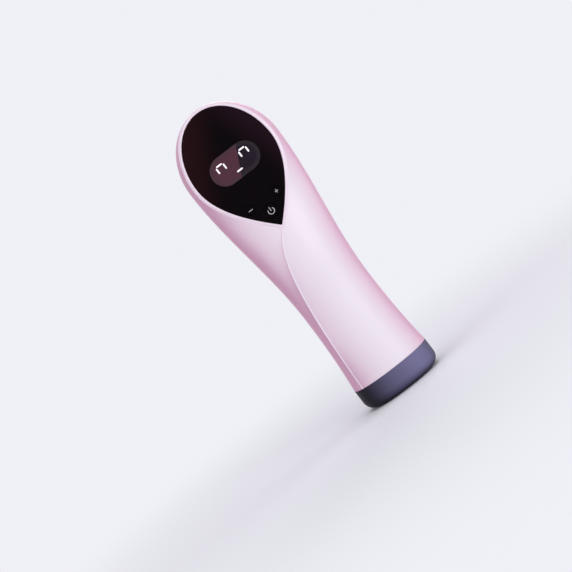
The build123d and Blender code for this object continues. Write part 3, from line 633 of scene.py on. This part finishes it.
# %% Rows of the front shell
rim_profile = (
    # margin around the window, height above the face
    (-0.8, -2.85), (-0.8, -1.35), (0.10, -1.35), (0.10, -0.6), (0.10, 0.12), (0.125, 0.25),
    (0.19, 0.36), (0.29, 0.45), (0.43, 0.495), (0.58, rim_height), (0.74, 0.475), (0.88, 0.40),
    (0.99, 0.28), (1.07, 0.15), (1.14, 0.05), (1.22, 0.0),
)
land_round = 0.16
mitre_margin = 0.6  # of the rim's crest, where the tip's mitre line begins
ridge_highlight = 0.6  # the bead along the ridge gets less of the painted highlight
rim_steps = [0, 0.004, 0.008, 0.013, 0.019, 0.026, 0.035, 0.047, 0.062, 0.08, 0.1]
rim_steps += list(np.linspace(0.1, 1, 32)[1:]) + list(np.linspace(1, 2, 46)[1:])
handle_steps = [0, 0.15, 0.32, 0.5, 0.7, 0.95, 1.25, 1.6, 2.0, 2.5, 3.1, 3.8, 4.6, 5.5]
joint_round = 0.15
joint_steps = ((0.02, 0.06), (0.06, 0.02), (joint_round, 0.0))  # inset and rise, to the cut


def bead(distance):
    """Height of the soft bead along the ridge at a distance from its middle."""
    return bead_height * cos(pi / 2 * min(distance / bead_half_width, 1)) ** 2


def rim_point(along, grow, side):
    """A point across the rim, with the outer part of the tip leaning over to the ridge."""
    x, up = drop_point(along, grow)
    lean = tip_lean * ease((grow - 0.4) / (land_margin - 0.4))
    run = min(along, 1) * (drop_flank + land_margin * sqrt(2))
    return on_face(side * x - lean * exp(-run / tip_run), up)


def rim_row(along, side):
    """Points across the rim at one place of the drop, and how much painted highlight each gets."""
    points, shades = [], []
    edge = rim_point(along, land_margin, side)
    small = land_round * ease(along / 0.1)
    row, columns, line = half_row(edge[2], side, edge[0])
    inner = rim_point(along, land_margin - small, side)
    profile = [(rim_point(along, g, side), h) for g, h in rim_profile] + [(inner, 0.0)]
    at_tip = along < 1  # the ridge's bead starts at the tip, and the crown has none
    for point, h in profile:
        near = bead(abs(point[0] - mitre_x(point[2]))) if at_tip and h >= 0 else 0
        h += near * (1 - max(h, 0) / rim_height)
        points.append(point + h * face_out)
        shades.append(ease((h + 0.1) / 0.35) if h > 0 else 0)
    if along == 0:  # the tip's row is shared with the rows below
        tail, tail_shades = ridge_row(land_tip, side)
        shades += tail_shades[:1] * 2 + tail_shades
        return np.array(points + [tail[0]] * 2 + list(tail)), shades
    start = np.array([np.interp(small, columns, row[: len(columns), k]) for k in range(3)])
    soft = rounded(inner, edge, start)
    row[0] = start
    for k in range(1, 4):
        row[k] = start + (row[4] - start) * k / 4 if small else row[k]
    rest = soft + list(row)
    lifts = [bead(abs(p[0] + tip_lean)) if at_tip else 0 for p in rest]
    tail = [p + lift * face_out for p, lift in zip(rest, lifts)]
    shades += [ridge_highlight * ease(lift / bead_height) for lift in lifts]
    return np.array(points + tail), shades


def mitre_x(z):
    """Where the tip's mitre line crosses a height, from the rim's crest to the land's tip."""
    crest = tip_level - mitre_margin * sqrt(2) * cos(tilt)
    return -tip_lean * ease((crest - z) / (crest - land_tip))


def ridge_row(z, side):
    """A half row below the tip, with the bead raised along the ridge."""
    start_x = -crease_x(z)
    row, columns, line = half_row(z, side, start_x)
    other = half_row(z, -side, start_x)[2]
    out = np.zeros(3)
    for part, way in ((line, side), (other, -side)):
        t = part[1] - part[0]
        normal = np.array((t[1], -t[0], 0)) * way
        out += normal / np.linalg.norm(normal)
    below = land_tip - z
    out = out / np.linalg.norm(out)
    out = out + (face_out - out) * (1 - ease(below / 3))
    out /= np.linalg.norm(out)
    slope = (crease_x(z - 0.05) - crease_x(z)) / 0.05
    lean = 1 + (1 / sqrt(1 + slope**2) - 1) * ease(below / 1.5)
    lifts = [bead(d * lean) for d in columns] + [0] * (len(row) - len(columns))
    shades = [ridge_highlight * ease(lift / bead_height) for lift in lifts]
    return row + np.outer(lifts, out), shades


print("rows:", len(rim_steps), "beside the window")

# %% [markdown]
# The grids of rows are joined into one closed solid: the skin, the rounded seam, a plain
# inner wall two millimetres further in, and the cut at the foot. Shared edges come out with
# the same numbers from both grids, so merging the points that coincide welds them.


# %% Welding grids into one mesh
class Solid:
    """Collects grids of points in millimetres and welds them into a Blender object."""

    def __init__(self):
        self.mesh = bmesh.new()
        # a value per point for the painted highlight on the bead and the ridge
        self.shade = self.mesh.verts.layers.float.new("bead_highlight")

    def grid(self, rows, shades=None, closed=False):
        """Quads between neighbouring rows; closed joins the end of each row to its start."""
        made = []
        for i, row in enumerate(rows):
            verts = [self.mesh.verts.new(Vector(p) * mm) for p in row]
            for k, vert in enumerate(verts):
                vert[self.shade] = shades[i][k] if shades is not None else 0.0
            made.append(verts)
        for low, high in zip(made, made[1:]):
            count = len(low)
            for k in range(count if closed else count - 1):
                j = (k + 1) % count
                self.mesh.faces.new((low[k], low[j], high[j], high[k]))
        return made

    def weld(self, merge=0.0005):
        bmesh.ops.remove_doubles(self.mesh, verts=self.mesh.verts, dist=merge * mm)
        bmesh.ops.dissolve_degenerate(self.mesh, edges=self.mesh.edges, dist=merge * mm)

    def soften(self, middle, reach, passes=4):
        """Even out the skin around a place, most in its middle."""
        for share in (1, 0.85, 0.7):
            near = [
                v for v in self.mesh.verts if (v.co / mm - Vector(middle)).length < share * reach
            ]
            for step in range(passes):
                bmesh.ops.smooth_vert(
                    self.mesh, verts=near, factor=0.5,
                    use_axis_x=True, use_axis_y=True, use_axis_z=True,
                )

    def finish(self, name, body, material, sharp=40):
        self.weld()
        bmesh.ops.recalc_face_normals(self.mesh, faces=self.mesh.faces)
        data = bpy.data.meshes.new(name)
        self.mesh.to_mesh(data)
        open_edges = sum(1 for e in self.mesh.edges if len(e.link_faces) != 2)
        self.mesh.free()
        return place_mesh(data, name, body, material, sharp, open_edges)


def place_mesh(data, name, body, material, sharp=40, open_edges=None):
    """Put a finished mesh in the scene: smooth shading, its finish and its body."""
    piece = bpy.data.objects.new(name, data)
    bpy.context.scene.collection.objects.link(piece)
    data.materials.clear()
    data.materials.append(finishes[material])
    data.shade_smooth()
    data.set_sharp_from_angle(angle=radians(sharp))
    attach(piece, body)
    print(name, len(data.polygons), "faces, open edges:", open_edges)
    return piece


# %% Build the front shell
def inner_rows(side):
    """Rows of the inner wall, from behind the window's ledge or the middle to the seam."""
    rows = []

    def inner_row(z, start, seam_x):
        depth = -start[1]
        ends = (
            start,
            start + np.array((side * (seam_x - abs(start[0])) * 0.6, 0, 0)),
            np.array((side * seam_x, -depth * 0.58, z)),
            np.array((side * seam_x, 0, z)),
        )
        t = np.linspace(0, 1, row_length)[:, None]
        weights = ((1 - t) ** 3, 3 * t * (1 - t) ** 2, 3 * t * t * (1 - t), t**3)
        return sum(w * e for w, e in zip(weights, ends))

    for along in reversed(rim_steps):
        start = on_face(*drop_point(along, rim_profile[0][0]), rim_profile[0][1]) * (side, 1, 1)
        z = on_face(*drop_point(along, land_margin))[2]
        level, seam_x = z, half_width(z) - wall
        if z > head_level:
            share = (z - head_level) / (height - head_level)
            level = head_level + (height - wall - head_level) * share
            seam_x = (head_half_width - wall) * crown_share(z)
        rows.append(inner_row(level, start, seam_x))
    for z in handle_levels[1:]:
        start = np.array((0, wall - front_depth(z), z))
        rows.append(inner_row(z, start, half_width(z) - wall))
    return rows


handle_low = cap_height + joint_round
handle_pitch = 0.95  # between rows further down
handle_levels = [land_tip - d for d in handle_steps]
count = round((handle_levels[-1] - handle_low) / handle_pitch)
handle_levels += list(np.linspace(handle_levels[-1], handle_low, count + 1)[1:])

row_length = len(half_row(60.0, 1, 0)[0])
dome_rows = 6
soft_places = (
    # where the rim meets the ridge, and the crown: middle and reach
    ((-1.4, -13.6, 81.1), 1.25),
    ((0, -1.6, 139.95), 1.45),
)
front = Solid()
for side in (1, -1):
    upper = [rim_row(along, side) for along in reversed(rim_steps)]
    lower = [ridge_row(z, side) for z in handle_levels]
    front.grid([row for row, shades in upper], [shades for row, shades in upper])
    # the cut at the foot, rounded like the seam
    last, last_shades = lower[-1]
    size = np.array((half_width(cap_height), foot_depth, 1))
    cut = [
        last * (1 - np.array((inset, inset, 0)) / size) * (1, 1, 0) + (0, 0, cap_height + rise)
        for inset, rise in joint_steps
    ]
    front.grid(
        [row for row, shades in lower] + cut,
        [shades for row, shades in lower] + [last_shades] * 3,
    )
    # the crown closes from the land's top to the apex, with one more column in the middle
    corner = upper[0][0][len(rim_profile) : len(rim_profile) + 4]
    top = upper[0][0][len(rim_profile) + 3 :]
    top = np.vstack([top[:1] * (0, 1, 1), top])
    front.grid([corner, np.repeat(top[:1], 4, axis=0)])
    turn = asin((top[-1][2] - head_level) / (height - head_level))
    dome = [top]
    for k in range(1, dome_rows + 1):
        angle = turn + (pi / 2 - turn) * k / dome_rows
        scale = cos(angle) / cos(turn)
        level = head_level + (height - head_level) * sin(angle)
        dome.append(top * (scale, scale, 0) + (0, 0, level))
    front.grid(dome)
    inner = inner_rows(side)
    front.grid(inner)
    apex = np.array((0, 0, height - wall))
    front.grid([inner[0], np.repeat(apex[None], row_length, axis=0)])
    # the seam's flat rim, from the crown to the foot
    outside = [row[-1] for row in reversed(dome[1:])] + [row[-1] for row, shades in upper]
    outside += [row[-1] for row, shades in lower[1:]] + [row[-1] for row in cut]
    inside_line = [apex] * (len(dome) - 1) + [row[-1] for row in inner]
    inside_line += [inside_line[-1] * (1, 1, 0) + (0, 0, cap_height)] * 3
    front.grid([outside, inside_line])
    foot_inner = inner[-1] * (1, 1, 0) + (0, 0, cap_height)
    front.grid([inner[-1], foot_inner])
    front.grid([cut[-1], foot_inner])
front.weld()
for soft_middle, soft_reach in soft_places:
    front.soften(soft_middle, soft_reach)
front_case = front.finish("front_case", "main_unit", "pink_shell")
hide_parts("front_shell")

# %% [markdown]
# ## Rear shell
#
# The rear shell is a plain half of the same form, laid out in rows as well, so that both
# halves meet along the seam. The loudspeaker's grille is four rings of holes around one in
# the middle. The holes are cut with a Boolean: a ring of small cutters is joined into one
# mesh and taken away from the solid in one go. Cutting leaves many-sided faces that would
# shade unevenly, so the shading normals are set from the form's own equation afterwards.


# %% Rows of the rear shell
def rear_row(z, inset=0.0, level=None):
    """Points from the right seam round the back to the left seam."""
    width, depth = half_width(z) - inset, back_depth(z) - inset
    if z > head_level:
        width = (head_half_width - inset) * crown_share(z)
        depth = (head_back_depth - inset) * crown_share(z)
    angles = np.linspace(0, pi, rear_fine_steps)
    sign = np.sign(np.cos(angles))
    x = width * sign * np.abs(np.cos(angles)) ** power
    y = depth * np.abs(np.sin(angles)) ** power
    line = np.array([x, y, np.full(rear_fine_steps, z if level is None else level)]).T
    steps = np.concatenate(([0], np.cumsum(np.linalg.norm(np.diff(line, axis=0), axis=1))))
    small = min(seam_round, steps[-1] / 24)
    inward = 1 - small / width if width > small else 0
    at = np.linspace(small, steps[-1] - small, rear_columns)
    points = np.array([np.interp(at, steps, line[:, k]) for k in range(3)]).T
    ends = []
    for end, corner in ((points[0], line[0]), (points[-1], line[-1])):
        after = corner * (inward, 1, 1)
        ends.append(rounded(end, corner, after) + [after])
    return np.vstack([ends[0][::-1], points, ends[1]])


rear_fine_steps = 400
rear_columns = 58
crown_rows = 26
rear_levels = list(np.linspace(handle_low, head_level, 98))
rear_levels += [
    head_level + (height - head_level) * sin(pi / 2 * k / crown_rows)
    for k in range(1, crown_rows + 1)
]
rear = Solid()
outer = [rear_row(z) for z in rear_levels]
size = np.array((foot_half_width, foot_depth, 1))
cut = [
    outer[0] * (1 - np.array((inset, inset, 0)) / size) * (1, 1, 0) + (0, 0, cap_height + rise)
    for inset, rise in reversed(joint_steps)
]
inner = []
for z in rear_levels:
    level = z
    if z > head_level:
        share = (z - head_level) / (height - head_level)
        level = head_level + (height - wall - head_level) * share
    inner.append(rear_row(z, wall, level))
foot_inner = inner[0] * (1, 1, 0) + (0, 0, cap_height)
rear.grid(cut + outer)
rear.grid([foot_inner, foot_inner, foot_inner] + inner)
rear.grid([foot_inner, cut[0]])
for end in (0, -1):
    rear.grid(
        [[row[end] for row in cut + outer], [row[end] for row in [foot_inner] * 3 + inner]]
    )
rear_case = rear.finish("rear_case", "main_unit", "pink_shell")
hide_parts("rear_shell")

# %% [markdown]
# The cutters are plain many-sided rods, and each one flares a little at the outside so that
# the edge of every hole is slightly rounded over, as moulding leaves it. The socket's
# dimple and the hole for its metal ring are turned cutters of the same kind.

# %% Cut the grille and the socket's dimple
speaker_level, socket_level = 110.3, 81.7
grille_rings, grille_pitch, grille_hole_radius, hole_round = 4, 2.76, 0.9, 0.16
dimple_radius, dimple_depth, dimple_round, ferrule_hole_radius = 3.05, 0.6, 0.25, 2.4
mouth_turn = 1.1  # how far a mouth turns over before it leaves the skin, in radians


def back_surface(x, z):
    """Depth of the rear shell's skin at a place."""
    return back_depth(z) * plain_share(abs(x) / half_width(z))


def cutter(mesh, x, z, profile, sides):
    """A closed rod through (x, z); profile is (radius, height over the skin) from end to end."""
    rings = []
    for radius, over in profile:
        ring = []
        for k in range(sides):
            px, pz = x + radius * cos(2 * pi * k / sides), z + radius * sin(2 * pi * k / sides)
            ring.append(mesh.verts.new(Vector((px, back_surface(px, pz) + over, pz)) * mm))
        rings.append(ring)
    for low, high in zip(rings, rings[1:]):
        for k in range(sides):
            j = (k + 1) % sides
            mesh.faces.new((low[k], high[k], high[j], low[j]))
    mesh.faces.new(rings[0])
    mesh.faces.new(rings[-1][::-1])


def mouth_profile(radius, size, deep, steps=4):
    """The bore and the rounded mouth, which leaves the skin at a slant."""
    turns = [mouth_turn * k / steps for k in range(steps + 1)]
    soft = [(radius + size * (1 - cos(t)), -size * (1 - sin(t))) for t in turns]
    across, over = soft[-1]
    outside = (across + 3 * size * sin(mouth_turn), over + 3 * size * cos(mouth_turn))
    return [(radius, -deep)] + soft + [outside]


grille = [(0.0, speaker_level)]
for ring in range(1, grille_rings + 1):
    for k in range(6 * ring):
        turn = 2 * pi * k / (6 * ring)
        grille.append(
            (ring * grille_pitch * cos(turn), speaker_level + ring * grille_pitch * sin(turn))
        )
cutters = bmesh.new()
for x, z in grille:
    cutter(cutters, x, z, mouth_profile(grille_hole_radius, hole_round, 2 * wall), 24)
ferrule_hole = [(ferrule_hole_radius, -2 * wall), (ferrule_hole_radius, -dimple_depth)]
dimple = mouth_profile(dimple_radius, dimple_round, dimple_depth)
floor_round = [(dimple_radius - 0.2, -dimple_depth), (dimple_radius - 0.06, -dimple_depth + 0.06)]
cutter(cutters, 0, socket_level, ferrule_hole + floor_round + dimple[1:], 64)
bmesh.ops.recalc_face_normals(cutters, faces=cutters.faces)
cutter_data = bpy.data.meshes.new("cutters")
cutters.to_mesh(cutter_data)
cutters.free()
cutter_piece = bpy.data.objects.new("cutters", cutter_data)
bpy.context.scene.collection.objects.link(cutter_piece)
carve = rear_case.modifiers.new("holes", "BOOLEAN")
carve.object, carve.operation, carve.solver = cutter_piece, "DIFFERENCE", "EXACT"
carved = bpy.data.meshes.new_from_object(
    rear_case.evaluated_get(bpy.context.evaluated_depsgraph_get())
)
rear_case.modifiers.clear()
rear_case.data = carved
bpy.data.objects.remove(cutter_piece)
print("rear shell with", len(grille), "holes:", len(carved.polygons), "faces")


# %% Smooth shading from the form's equation
def skin_normal(x, y, z):
    """The outward direction of the rear skin at a point, in millimetres."""
    step = 0.05

    def spans(z):
        return max(half_width(z), 0.1), max(back_depth(z), 0.1)

    def level_of(z):
        width, depth = spans(z)
        return (abs(x) / width) ** roundness + (abs(y) / depth) ** roundness

    width, depth = spans(z)
    gx = roundness / width * (abs(x) / width) ** (roundness - 1) * (1 if x > 0 else -1)
    gy = roundness / depth * (abs(y) / depth) ** (roundness - 1) * (1 if y > 0 else -1)
    top = min(z + step, height - 0.01)
    gz = (level_of(top) - level_of(top - 2 * step)) / (2 * step)
    return Vector((gx, gy, gz)).normalized()


def set_skin_normals(data):
    """Faces that lie on the skin are shaded by its equation, and the others by themselves."""
    data.shade_smooth()
    normals = [None] * len(data.loops)
    for face in data.polygons:
        middle = face.center / mm
        below_crown = middle.z < height - crown_cap
        along_skin = face.normal.dot(skin_normal(*middle)) > skin_match
        under = back_surface(middle.x, middle.z) - middle.y
        on_skin = below_crown and along_skin and middle.y > seam_clear and under < skin_reach
        for loop in face.loop_indices:
            vert = data.vertices[data.loops[loop].vertex_index]
            if on_skin:
                normals[loop] = skin_normal(*(vert.co / mm))
            else:
                normals[loop] = face.normal if below_crown else vert.normal
    data.normals_split_custom_set(normals)


crown_cap = 1.5  # the equation is too steep this near the top
skin_match = 0.9  # cosine between a face and the skin, for a face that lies on it
seam_clear, skin_reach = 0.2, 0.3  # from the seam, and under the skin
set_skin_normals(carved)

# %% [markdown]
# ## Probe cap
#
# The slate cap is the same oval as the foot of the shells all the way down, then it turns
# under with a generous round and ends in a flat ring around the acoustic window. A solid
# like this is swept: one closed profile of insets and heights is carried round the oval.


# %% Probe cap
def oval(inset, z, count=176):
    """The foot's oval drawn in squarely to its edge, at one height."""
    points = []
    for k in range(count):
        a = 2 * pi * k / count
        x = foot_half_width * abs(cos(a)) ** power * (1 if cos(a) > 0 else -1)
        y = foot_depth * abs(sin(a)) ** power * (1 if sin(a) > 0 else -1)
        nx = abs(x / foot_half_width) ** (roundness - 1) / foot_half_width * (1 if x > 0 else -1)
        ny = abs(y / foot_depth) ** (roundness - 1) / foot_depth * (1 if y > 0 else -1)
        long = sqrt(nx * nx + ny * ny)
        points.append((x - inset * nx / long, y - inset * ny / long, z))
    return np.array(points)


def window_oval(inset, z, count=176):
    """The recess for the acoustic window, which is smaller by the same amount both ways."""
    shape = oval(0, z, count)
    return shape * ((foot_half_width - inset) / foot_half_width, (foot_depth - inset) / foot_depth, 1)


cap_corner, cap_wall, cap_floor, window_inset = 4.6, 2.2, 1.8, 6.4
outline = [(cap_wall, cap_height), (0.15, cap_height), (0.06, cap_height - 0.02)]
outline += [(0.02, cap_height - 0.06), (0.0, cap_height - 0.15), (0.0, 8.5), (0.0, 6.5)]
turns = [pi / 2 * k / 14 for k in range(15)]
outline += [(cap_corner * (1 - cos(t)), cap_corner * (1 - sin(t))) for t in turns]
rows = [oval(inset, z) for inset, z in outline]
rows += [
    window_oval(inset, z)
    for inset, z in ((window_inset - 0.1, 0), (window_inset, 0.1), (window_inset, cap_floor))
]
inner_corner = cap_corner - cap_wall
rows += [
    oval(cap_corner - inner_corner * sin(t), cap_floor + inner_corner * (1 - cos(t)))
    for t in turns[::2]
]
rows.append(rows[0])
cap = Solid()
cap.grid(rows, closed=True)
probe_cap = cap.finish("probe_cap", "main_unit", "slate_cap", sharp=50)
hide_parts("probe_housing")

# %% [markdown]
# ## Window, keys' marks and the bed behind the window
#
# Flat pieces with rounded edges come from Blender's own 2-D curves: an outline with holes
# is filled, given a thickness and a small bevel, and turned into a mesh. It keeps the drop
# and the key holes exact, and the bevel runs round each of them. The curve's offset draws
# the outline in by the bevel, so that the finished piece keeps its size.


# %% Flat pieces on the tilted face
def flat_piece(name, body, material, outlines, front_out, back_out, edge):
    """A plate on the face from closed outlines in mm, between two heights above the face."""
    data = bpy.data.curves.new(name, "CURVE")
    data.dimensions, data.fill_mode = "2D", "BOTH"
    data.extrude = ((front_out - back_out) / 2 - edge) * mm
    data.bevel_depth, data.bevel_resolution, data.offset = edge * mm, 3, -edge * mm
    for points in outlines:
        spline = data.splines.new("POLY")
        spline.points.add(len(points) - 1)
        for knot, (x, up) in zip(spline.points, points):
            knot.co = (x * mm, up * mm, 0, 1)
        spline.use_cyclic_u = True
    drawn = bpy.data.objects.new(name + "_curve", data)
    bpy.context.scene.collection.objects.link(drawn)
    made = bpy.data.meshes.new_from_object(
        drawn.evaluated_get(bpy.context.evaluated_depsgraph_get())
    )
    bpy.data.objects.remove(drawn)
    middle_out = (front_out + back_out) / 2
    origin = Vector(on_face(0, 0, middle_out)) * mm
    turn = Matrix(((1, 0, 0), tuple(face_up), tuple(face_out))).transposed()
    made.transform(Matrix.Translation(origin) @ turn.to_4x4())
    made.name = name
    shape = bmesh.new()
    shape.from_mesh(made)
    bmesh.ops.remove_doubles(shape, verts=shape.verts, dist=0.0002 * mm)
    bmesh.ops.recalc_face_normals(shape, faces=shape.faces)
    open_edges = sum(1 for e in shape.edges if len(e.link_faces) != 2)
    shape.to_mesh(made)
    shape.free()
    piece = place_mesh(made, name, body, material, 60, open_edges)
    even = piece.modifiers.new("even_shading", "WEIGHTED_NORMAL")
    even.keep_sharp, even.weight = True, 100
    return piece


def drop_outline(grow, step=64):
    half = [drop_point(2 * k / step, grow) for k in range(step + 1)]
    return half + [(-x, up) for x, up in half[-2:0:-1]]


def circle(x, up, radius, count=72):
    return [
        (x + radius * cos(2 * pi * k / count), up + radius * sin(2 * pi * k / count))
        for k in range(count)
    ]


def pill(x, up, width, high, count=24):
    """A slot with round ends."""
    radius, run = high / 2, (width - high) / 2
    turn = [pi * k / count - pi / 2 for k in range(count + 1)]
    end = [(x + run + radius * cos(a), up + radius * sin(a)) for a in turn]
    return end + [(2 * x - px, 2 * up - py) for px, py in end]


window_proud, window_depth = 0.25, 1.35
keys = {
    # across, up along the face, radius
    "power": (0.0, 7.1, 3.0),
    "volume_down": (-6.45, 12.1, 2.0),
    "volume_up": (6.45, 12.1, 2.0),
}
display_up = 31.1  # the display's middle, up the face from the tip
key_gap, film_gap, window_edge = 0.15, 0.1, 0.14
bed_inset, bed_gap, bed_depth, bed_edge = 0.82, 0.05, 1.45, 0.1
bed_key_gap = 0.48  # wider than the window's, for the flange of the key
opening_half_width, opening_half_height = 12.1, 7.3  # in the bed, for the display
holes = [circle(x, up, radius + key_gap) for x, up, radius in keys.values()]
window = flat_piece(
    "window", "main_unit", "black_window",
    [drop_outline(0), pill(0, display_up, pill_width + film_gap, pill_high + film_gap)] + holes,
    window_proud, -window_depth, window_edge,
)
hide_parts("display_window")
opening = [
    (x * opening_half_width, display_up + up * opening_half_height)
    for x, up in ((1, 1), (-1, 1), (-1, -1), (1, -1))
]
bed_holes = [circle(x, up, radius + bed_key_gap) for x, up, radius in keys.values()]
bed_front = -window_depth - bed_gap
bed = flat_piece(
    "window_bed", "main_unit", "pink_shell", [drop_outline(-bed_inset), opening] + bed_holes,
    bed_front, bed_front - bed_depth, bed_edge,
)
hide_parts("front_shell")

# %% [markdown]
# The marks on the keys are thin pale inlays that stand a hair above the black: a bar for
# less, a cross for more, and the usual ring with a bar for power. They ride on their keys.


# %% Marks on the keys
def arc_band(x, up, radius, width, start, end, count=48):
    """A band along an arc, with round ends."""
    turn = np.linspace(start, end, count)
    outer = [(x + (radius + width / 2) * cos(a), up + (radius + width / 2) * sin(a)) for a in turn]
    inner = [(x + (radius - width / 2) * cos(a), up + (radius - width / 2) * sin(a)) for a in turn]
    tips = []
    for a, way in ((end, 1), (start, -1)):
        cx, cy = x + radius * cos(a), up + radius * sin(a)
        first = a if way > 0 else a + pi
        tips.append([
            (cx + width / 2 * cos(first + t), cy + width / 2 * sin(first + t))
            for t in np.linspace(0, pi, 9)[1:-1]
        ])
    return outer + tips[0] + inner[::-1] + tips[1]


def cross(x, up, size, width):
    a, b = size / 2, width / 2
    corners = [(a, b), (b, b), (b, a), (-b, a), (-b, b), (-a, b)]
    corners += [(-px, -py) for px, py in corners]
    return [(x + px, up + py) for px, py in corners]


finishes["mark_print"] = finish("mark_print", (0.50, 0.48, 0.50), 0.45, (2500, 0.003), 0.05)
mark_proud, mark_depth, mark_edge = 0.02, 0.1, 0.01
x, up, radius = keys["power"]
gap = radians(54)
marks = {
    "power": [
        arc_band(x, up - 0.1, 1.3, 0.3, pi / 2 + gap, 5 * pi / 2 - gap),
        pill(0, 0, 1.9, 0.28),
    ],
    "volume_down": [pill(keys["volume_down"][0], keys["volume_down"][1], 2.0, 0.26)],
    "volume_up": [cross(keys["volume_up"][0], keys["volume_up"][1], 1.6, 0.22)],
}
marks["power"][1] = [(-py, up + 0.75 + px) for px, py in marks["power"][1]]
for name, outlines in marks.items():
    flat_piece(
        name + "_mark", name + "_button", "mark_print", outlines,
        window_proud + mark_proud, window_proud - mark_depth, mark_edge,
    )
